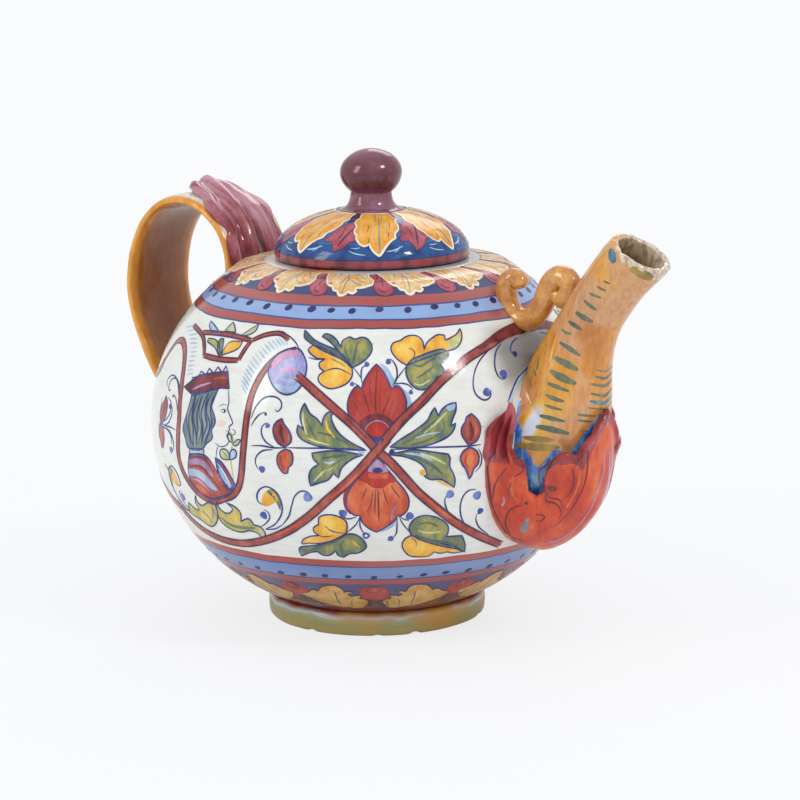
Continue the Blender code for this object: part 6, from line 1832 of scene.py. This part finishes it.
def castOnto(forms, outside, inwards, lift, within=0.03):
    hits = [form.ray_cast(outside, inwards, within) for form in forms]
    hits = [hit for hit in hits if hit[0] is not None]
    if not hits:
        return outside + inwards * cast["stand"]
    spot, facing, *rest = min(hits, key=lambda hit: hit[3])
    return spot + facing * (lift if facing.dot(inwards) < 0 else -lift)


def onSpout(x, y, lift):
    share, angle = y / 0.1, x / cast["spoutRound"]
    outside = spoutPoint(share, angle, cast["stand"])
    return castOnto([spoutForm], outside, (spoutPoint(share, angle) - outside).normalized(), lift)


def onCalyx(x, y, lift):
    place, out = huskPlace(x / cast["calyxRound"], y)
    centre = fromBelly(-calyx["inset"], -calyx["sink"])
    inwards = (centre - place).normalized()
    return castOnto(calyxForms, place - inwards * cast["stand"], inwards, lift)


for mirror in (1, -1):
    layMotif(spoutDashesAndGlint, onSpout, mirror=mirror)
    layMotif(calyxFrontLines, onCalyx, mirror=mirror)
    layMotif(calyxSideLines, onCalyx, mirror=mirror)

# each enamel: what it is made of, and its thin, middle and pooled colours
enamelTints = {
    "cobalt": ("cobaltEnamel", ["#1b2358", "#2a3678", "#44539a"]),
    "night": ("deepCobaltEnamel", ["#1f2456", "#2b326b", "#3c4685"]),
    "deepBlue": ("deepBlueEnamel", ["#172f6b", "#1f448b", "#2f63a8"]),
    "skyBlue": ("skyBlueEnamel", ["#7fb2cf", "#a5cfe0", "#c8e2ea"]),
    "paleBlue": ("paleBlueEnamel", ["#8fa5c8", "#a9bfdc", "#c5d6e8"]),
    "greyBlue": ("greyBlueEnamel", ["#65787c", "#80939a", "#9fb0b4"]),
    "mist": ("mistBlueEnamel", ["#93b0cb", "#aec6da", "#c6d7e4"]),
    "rose": ("roseEnamel", ["#bd86ac", "#d3a0c0", "#e2bfd2"]),
    "lilac": ("lilacEnamel", ["#7d83c0", "#9b9bcf", "#bdb6dc"]),
    "teal": ("tealGreyEnamel", ["#4d5e50", "#66705a", "#85845f"]),
    "petrol": ("petrolBlueEnamel", ["#2f5a78", "#4a7c90", "#7d9c94"]),
    "umber": ("umberEnamel", ["#7c6a3e", "#988046", "#b5954f"]),
    "violet": ("violetEnamel", ["#34479a", "#5266b2", "#8496cf"]),
    "blueHair": ("slateGreenEnamel", ["#5a6f8c", "#70877c", "#8b9a72"]),
    "plum": ("manganeseEnamel", ["#33203a", "#4a2c47", "#6a4260"]),
    "mauve": ("mauveEnamel", ["#8f6f9c", "#ab8db4", "#c6aecb"]),
    "wine": ("wineLustre", ["#4f1c26", "#6f2b33", "#8b3f45"]),
    "ruby": ("rubyEnamel", ["#8e3540", "#a84858", "#ba6070"]),
    "crimson": ("crimsonLustre", ["#941f1c", "#b02a22", "#c03a2c"]),
    "scarlet": ("scarletEnamel", ["#8f2b28", "#a8342e", "#b8453a"]),
    "brick": ("brickRedEnamel", ["#883632", "#a2463e", "#b86252"]),
    "vermilion": ("vermilionEnamel", ["#b24226", "#cb5a36", "#dc7d50"]),
    "green": ("copperGreenEnamel", ["#4d6a68", "#73805a", "#a9a05c"]),
    "darkGreen": ("darkGreenEnamel", ["#3f5a5e", "#54695c", "#6f7c5a"]),
    "paleGreen": ("paleGreenEnamel", ["#a3b08c", "#c2c993", "#dcd99c"]),
    "yellow": ("antimonyYellowEnamel", ["#d8952f", "#ebb340", "#f2cd66"]),
    "leafGold": ("olivineEnamel", ["#8f9c58", "#c3b65f", "#dfc878"]),
    "gold": ("paleOrangeEnamel", ["#d19a52", "#e0b577", "#eccf9d"]),
    "amber": ("amberEnamel", ["#cf8420", "#e39b33", "#edb455"]),
    "ochre": ("ochreEnamel", ["#b07f3c", "#c99a55", "#d8b275"]),
    "ivory": ("ivorySlip", ["#ded2b4", "#ece3cb", "#f4efe0"]),
    "white": ("whiteTinEnamel", ["#e2e6ec", "#eef1f4", "#f8fafb"]),
    "blush": ("blushEnamel", ["#e6cfc8", "#ecdad4", "#efe3de"])}
for (body, colour), (points, polygons, marks) in enamels.items():
    enamel, tints = enamelTints[colour]
    if enamel not in bpy.data.materials:
        # overglaze enamel: glassy, thin and pale where the brush left it, deep where it pooled
        glaze(enamel, list(zip((0.15, 0.5, 0.85), tints)), roughness=0.15, patch=4.5, streak=1.2, swing=1.0,
              tone=0.3, brush=(1, 1, 0.45))
    mesh = bpy.data.meshes.new(body + colour)
    mesh.from_pydata(points, [], polygons)
    piece = bpy.data.objects.new(f"{body}{colour[0].upper()}{colour[1:]}Paint", mesh)
    bpy.context.collection.objects.link(piece)
    mesh.attributes.new("tone", "FLOAT", "POINT").data.foreach_set("value", marks)
    coat = piece.modifiers.new("coat", "SOLIDIFY")
    coat.thickness = paint["depth"]
    coat.offset = -1
    select(piece)
    bpy.ops.object.modifier_apply(modifier="coat")
    settle(piece, bpy.data.materials[enamel], body)


# camera and light
view = {"lens": 135.0, "turn": 38.0, "rise": 11.178, "roll": 0.73, "distance": 1.077, "right": 0.00923,
        "height": 0.0770}
turnAngle, riseAngle = math.radians(view["turn"]), math.radians(view["rise"])
back = Vector((math.sin(turnAngle) * math.cos(riseAngle), -math.cos(turnAngle) * math.cos(riseAngle),
               math.sin(riseAngle)))
right = Vector((math.cos(turnAngle), math.sin(turnAngle), 0))
aim = Vector((potX, 0, view["height"])) + right * view["right"]
bpy.ops.object.select_all(action="DESELECT")
bpy.ops.object.camera_add(location=aim + back * view["distance"])
camera = bpy.context.object
camera.name = "camera"
camera.data.lens = view["lens"]
camera.data.clip_start = 0.05
up = back.cross(right)
tilt = math.radians(view["roll"])
sideways = right * math.cos(tilt) - up * math.sin(tilt)
upward = up * math.cos(tilt) + right * math.sin(tilt)
camera.rotation_mode = "QUATERNION"
turnMatrix = [[sideways[i], upward[i], back[i]] for i in range(3)]
camera.rotation_quaternion = Matrix(turnMatrix).to_quaternion()
bpy.context.scene.camera = camera

lamps = {"rightBox": {"at": (0.95, 0.00, 0.94), "size": (0.17, 0.20), "power": 3.4},
         "leftBox": {"at": (-0.50, -1.00, 0.70), "size": (0.30, 0.72), "power": 3.0},
         "back": {"at": (-0.5, 1.0, 0.9), "size": (0.6, 0.5), "power": 2.0}}
for name, lamp in lamps.items():
    bpy.ops.object.light_add(type="AREA", location=lamp["at"])
    light = bpy.context.object
    light.name = name
    light.data.shape = "RECTANGLE"
    light.data.size, light.data.size_y = lamp["size"]
    light.data.energy = lamp["power"]
    light.rotation_euler = (Vector((potX, 0, 0.08)) - light.location).to_track_quat("-Z", "Y").to_euler()

world = bpy.data.worlds.new("studio")
bpy.context.scene.world = world
world.use_nodes = True
world.node_tree.nodes.clear()
sky = {"light": 0.80}
studioLight = addNode(world, "Background", {"Color": (1, 1, 1, 1), "Strength": sky["light"]})
studioSeen = addNode(world, "Background", {"Color": fromHex("#fafbfd"), "Strength": 1.0})
rays = addNode(world, "LightPath")
shown = addNode(world, "MixShader", {}, {0: rays.outputs["Is Camera Ray"], 1: studioLight,
                                         2: studioSeen})
addNode(world, "OutputWorld", wires={"Surface": shown})

bpy.ops.object.select_all(action="DESELECT")
bpy.ops.mesh.primitive_circle_add(vertices=96, radius=3.0, fill_type="NGON", location=(0, 0, -0.0002))
floor = bpy.context.object
floor.name = "floor"
# matt white paper sweep: bright to the camera, still taking the pot's shadow
paper = newMaterial("whitePaperSweep")
rays = addNode(paper, "LightPath")
matt = addNode(paper, "BsdfDiffuse", {"Color": fromHex("#f4f5f6")})
glow = addNode(paper, "Emission", {"Color": fromHex("#fafbfd"), "Strength": 1.0})
# the sweep goes over to plain white away from the pot, so that no horizon shows
spot = addNode(paper, "TexCoord").outputs["Object"]
away = addNode(paper, "VectorMath", wires={0: spot}, operation="LENGTH")
fade = addNode(paper, "MapRange", {"From Min": 0.12, "From Max": 0.60, "To Min": 0.80},
               {"Value": away.outputs["Value"]})
most = addNode(paper, "MixShader", {}, {0: fade, 1: matt, 2: glow})
choice = addNode(paper, "MixShader", {}, {0: rays.outputs["Is Camera Ray"], 1: matt,
                                          2: most})
addNode(paper, "OutputMaterial", wires={"Surface": choice})
floor.data.materials.append(paper)

scene = bpy.context.scene
scene.view_settings.view_transform = "Standard"
print("stage: camera, lamps and floor set")
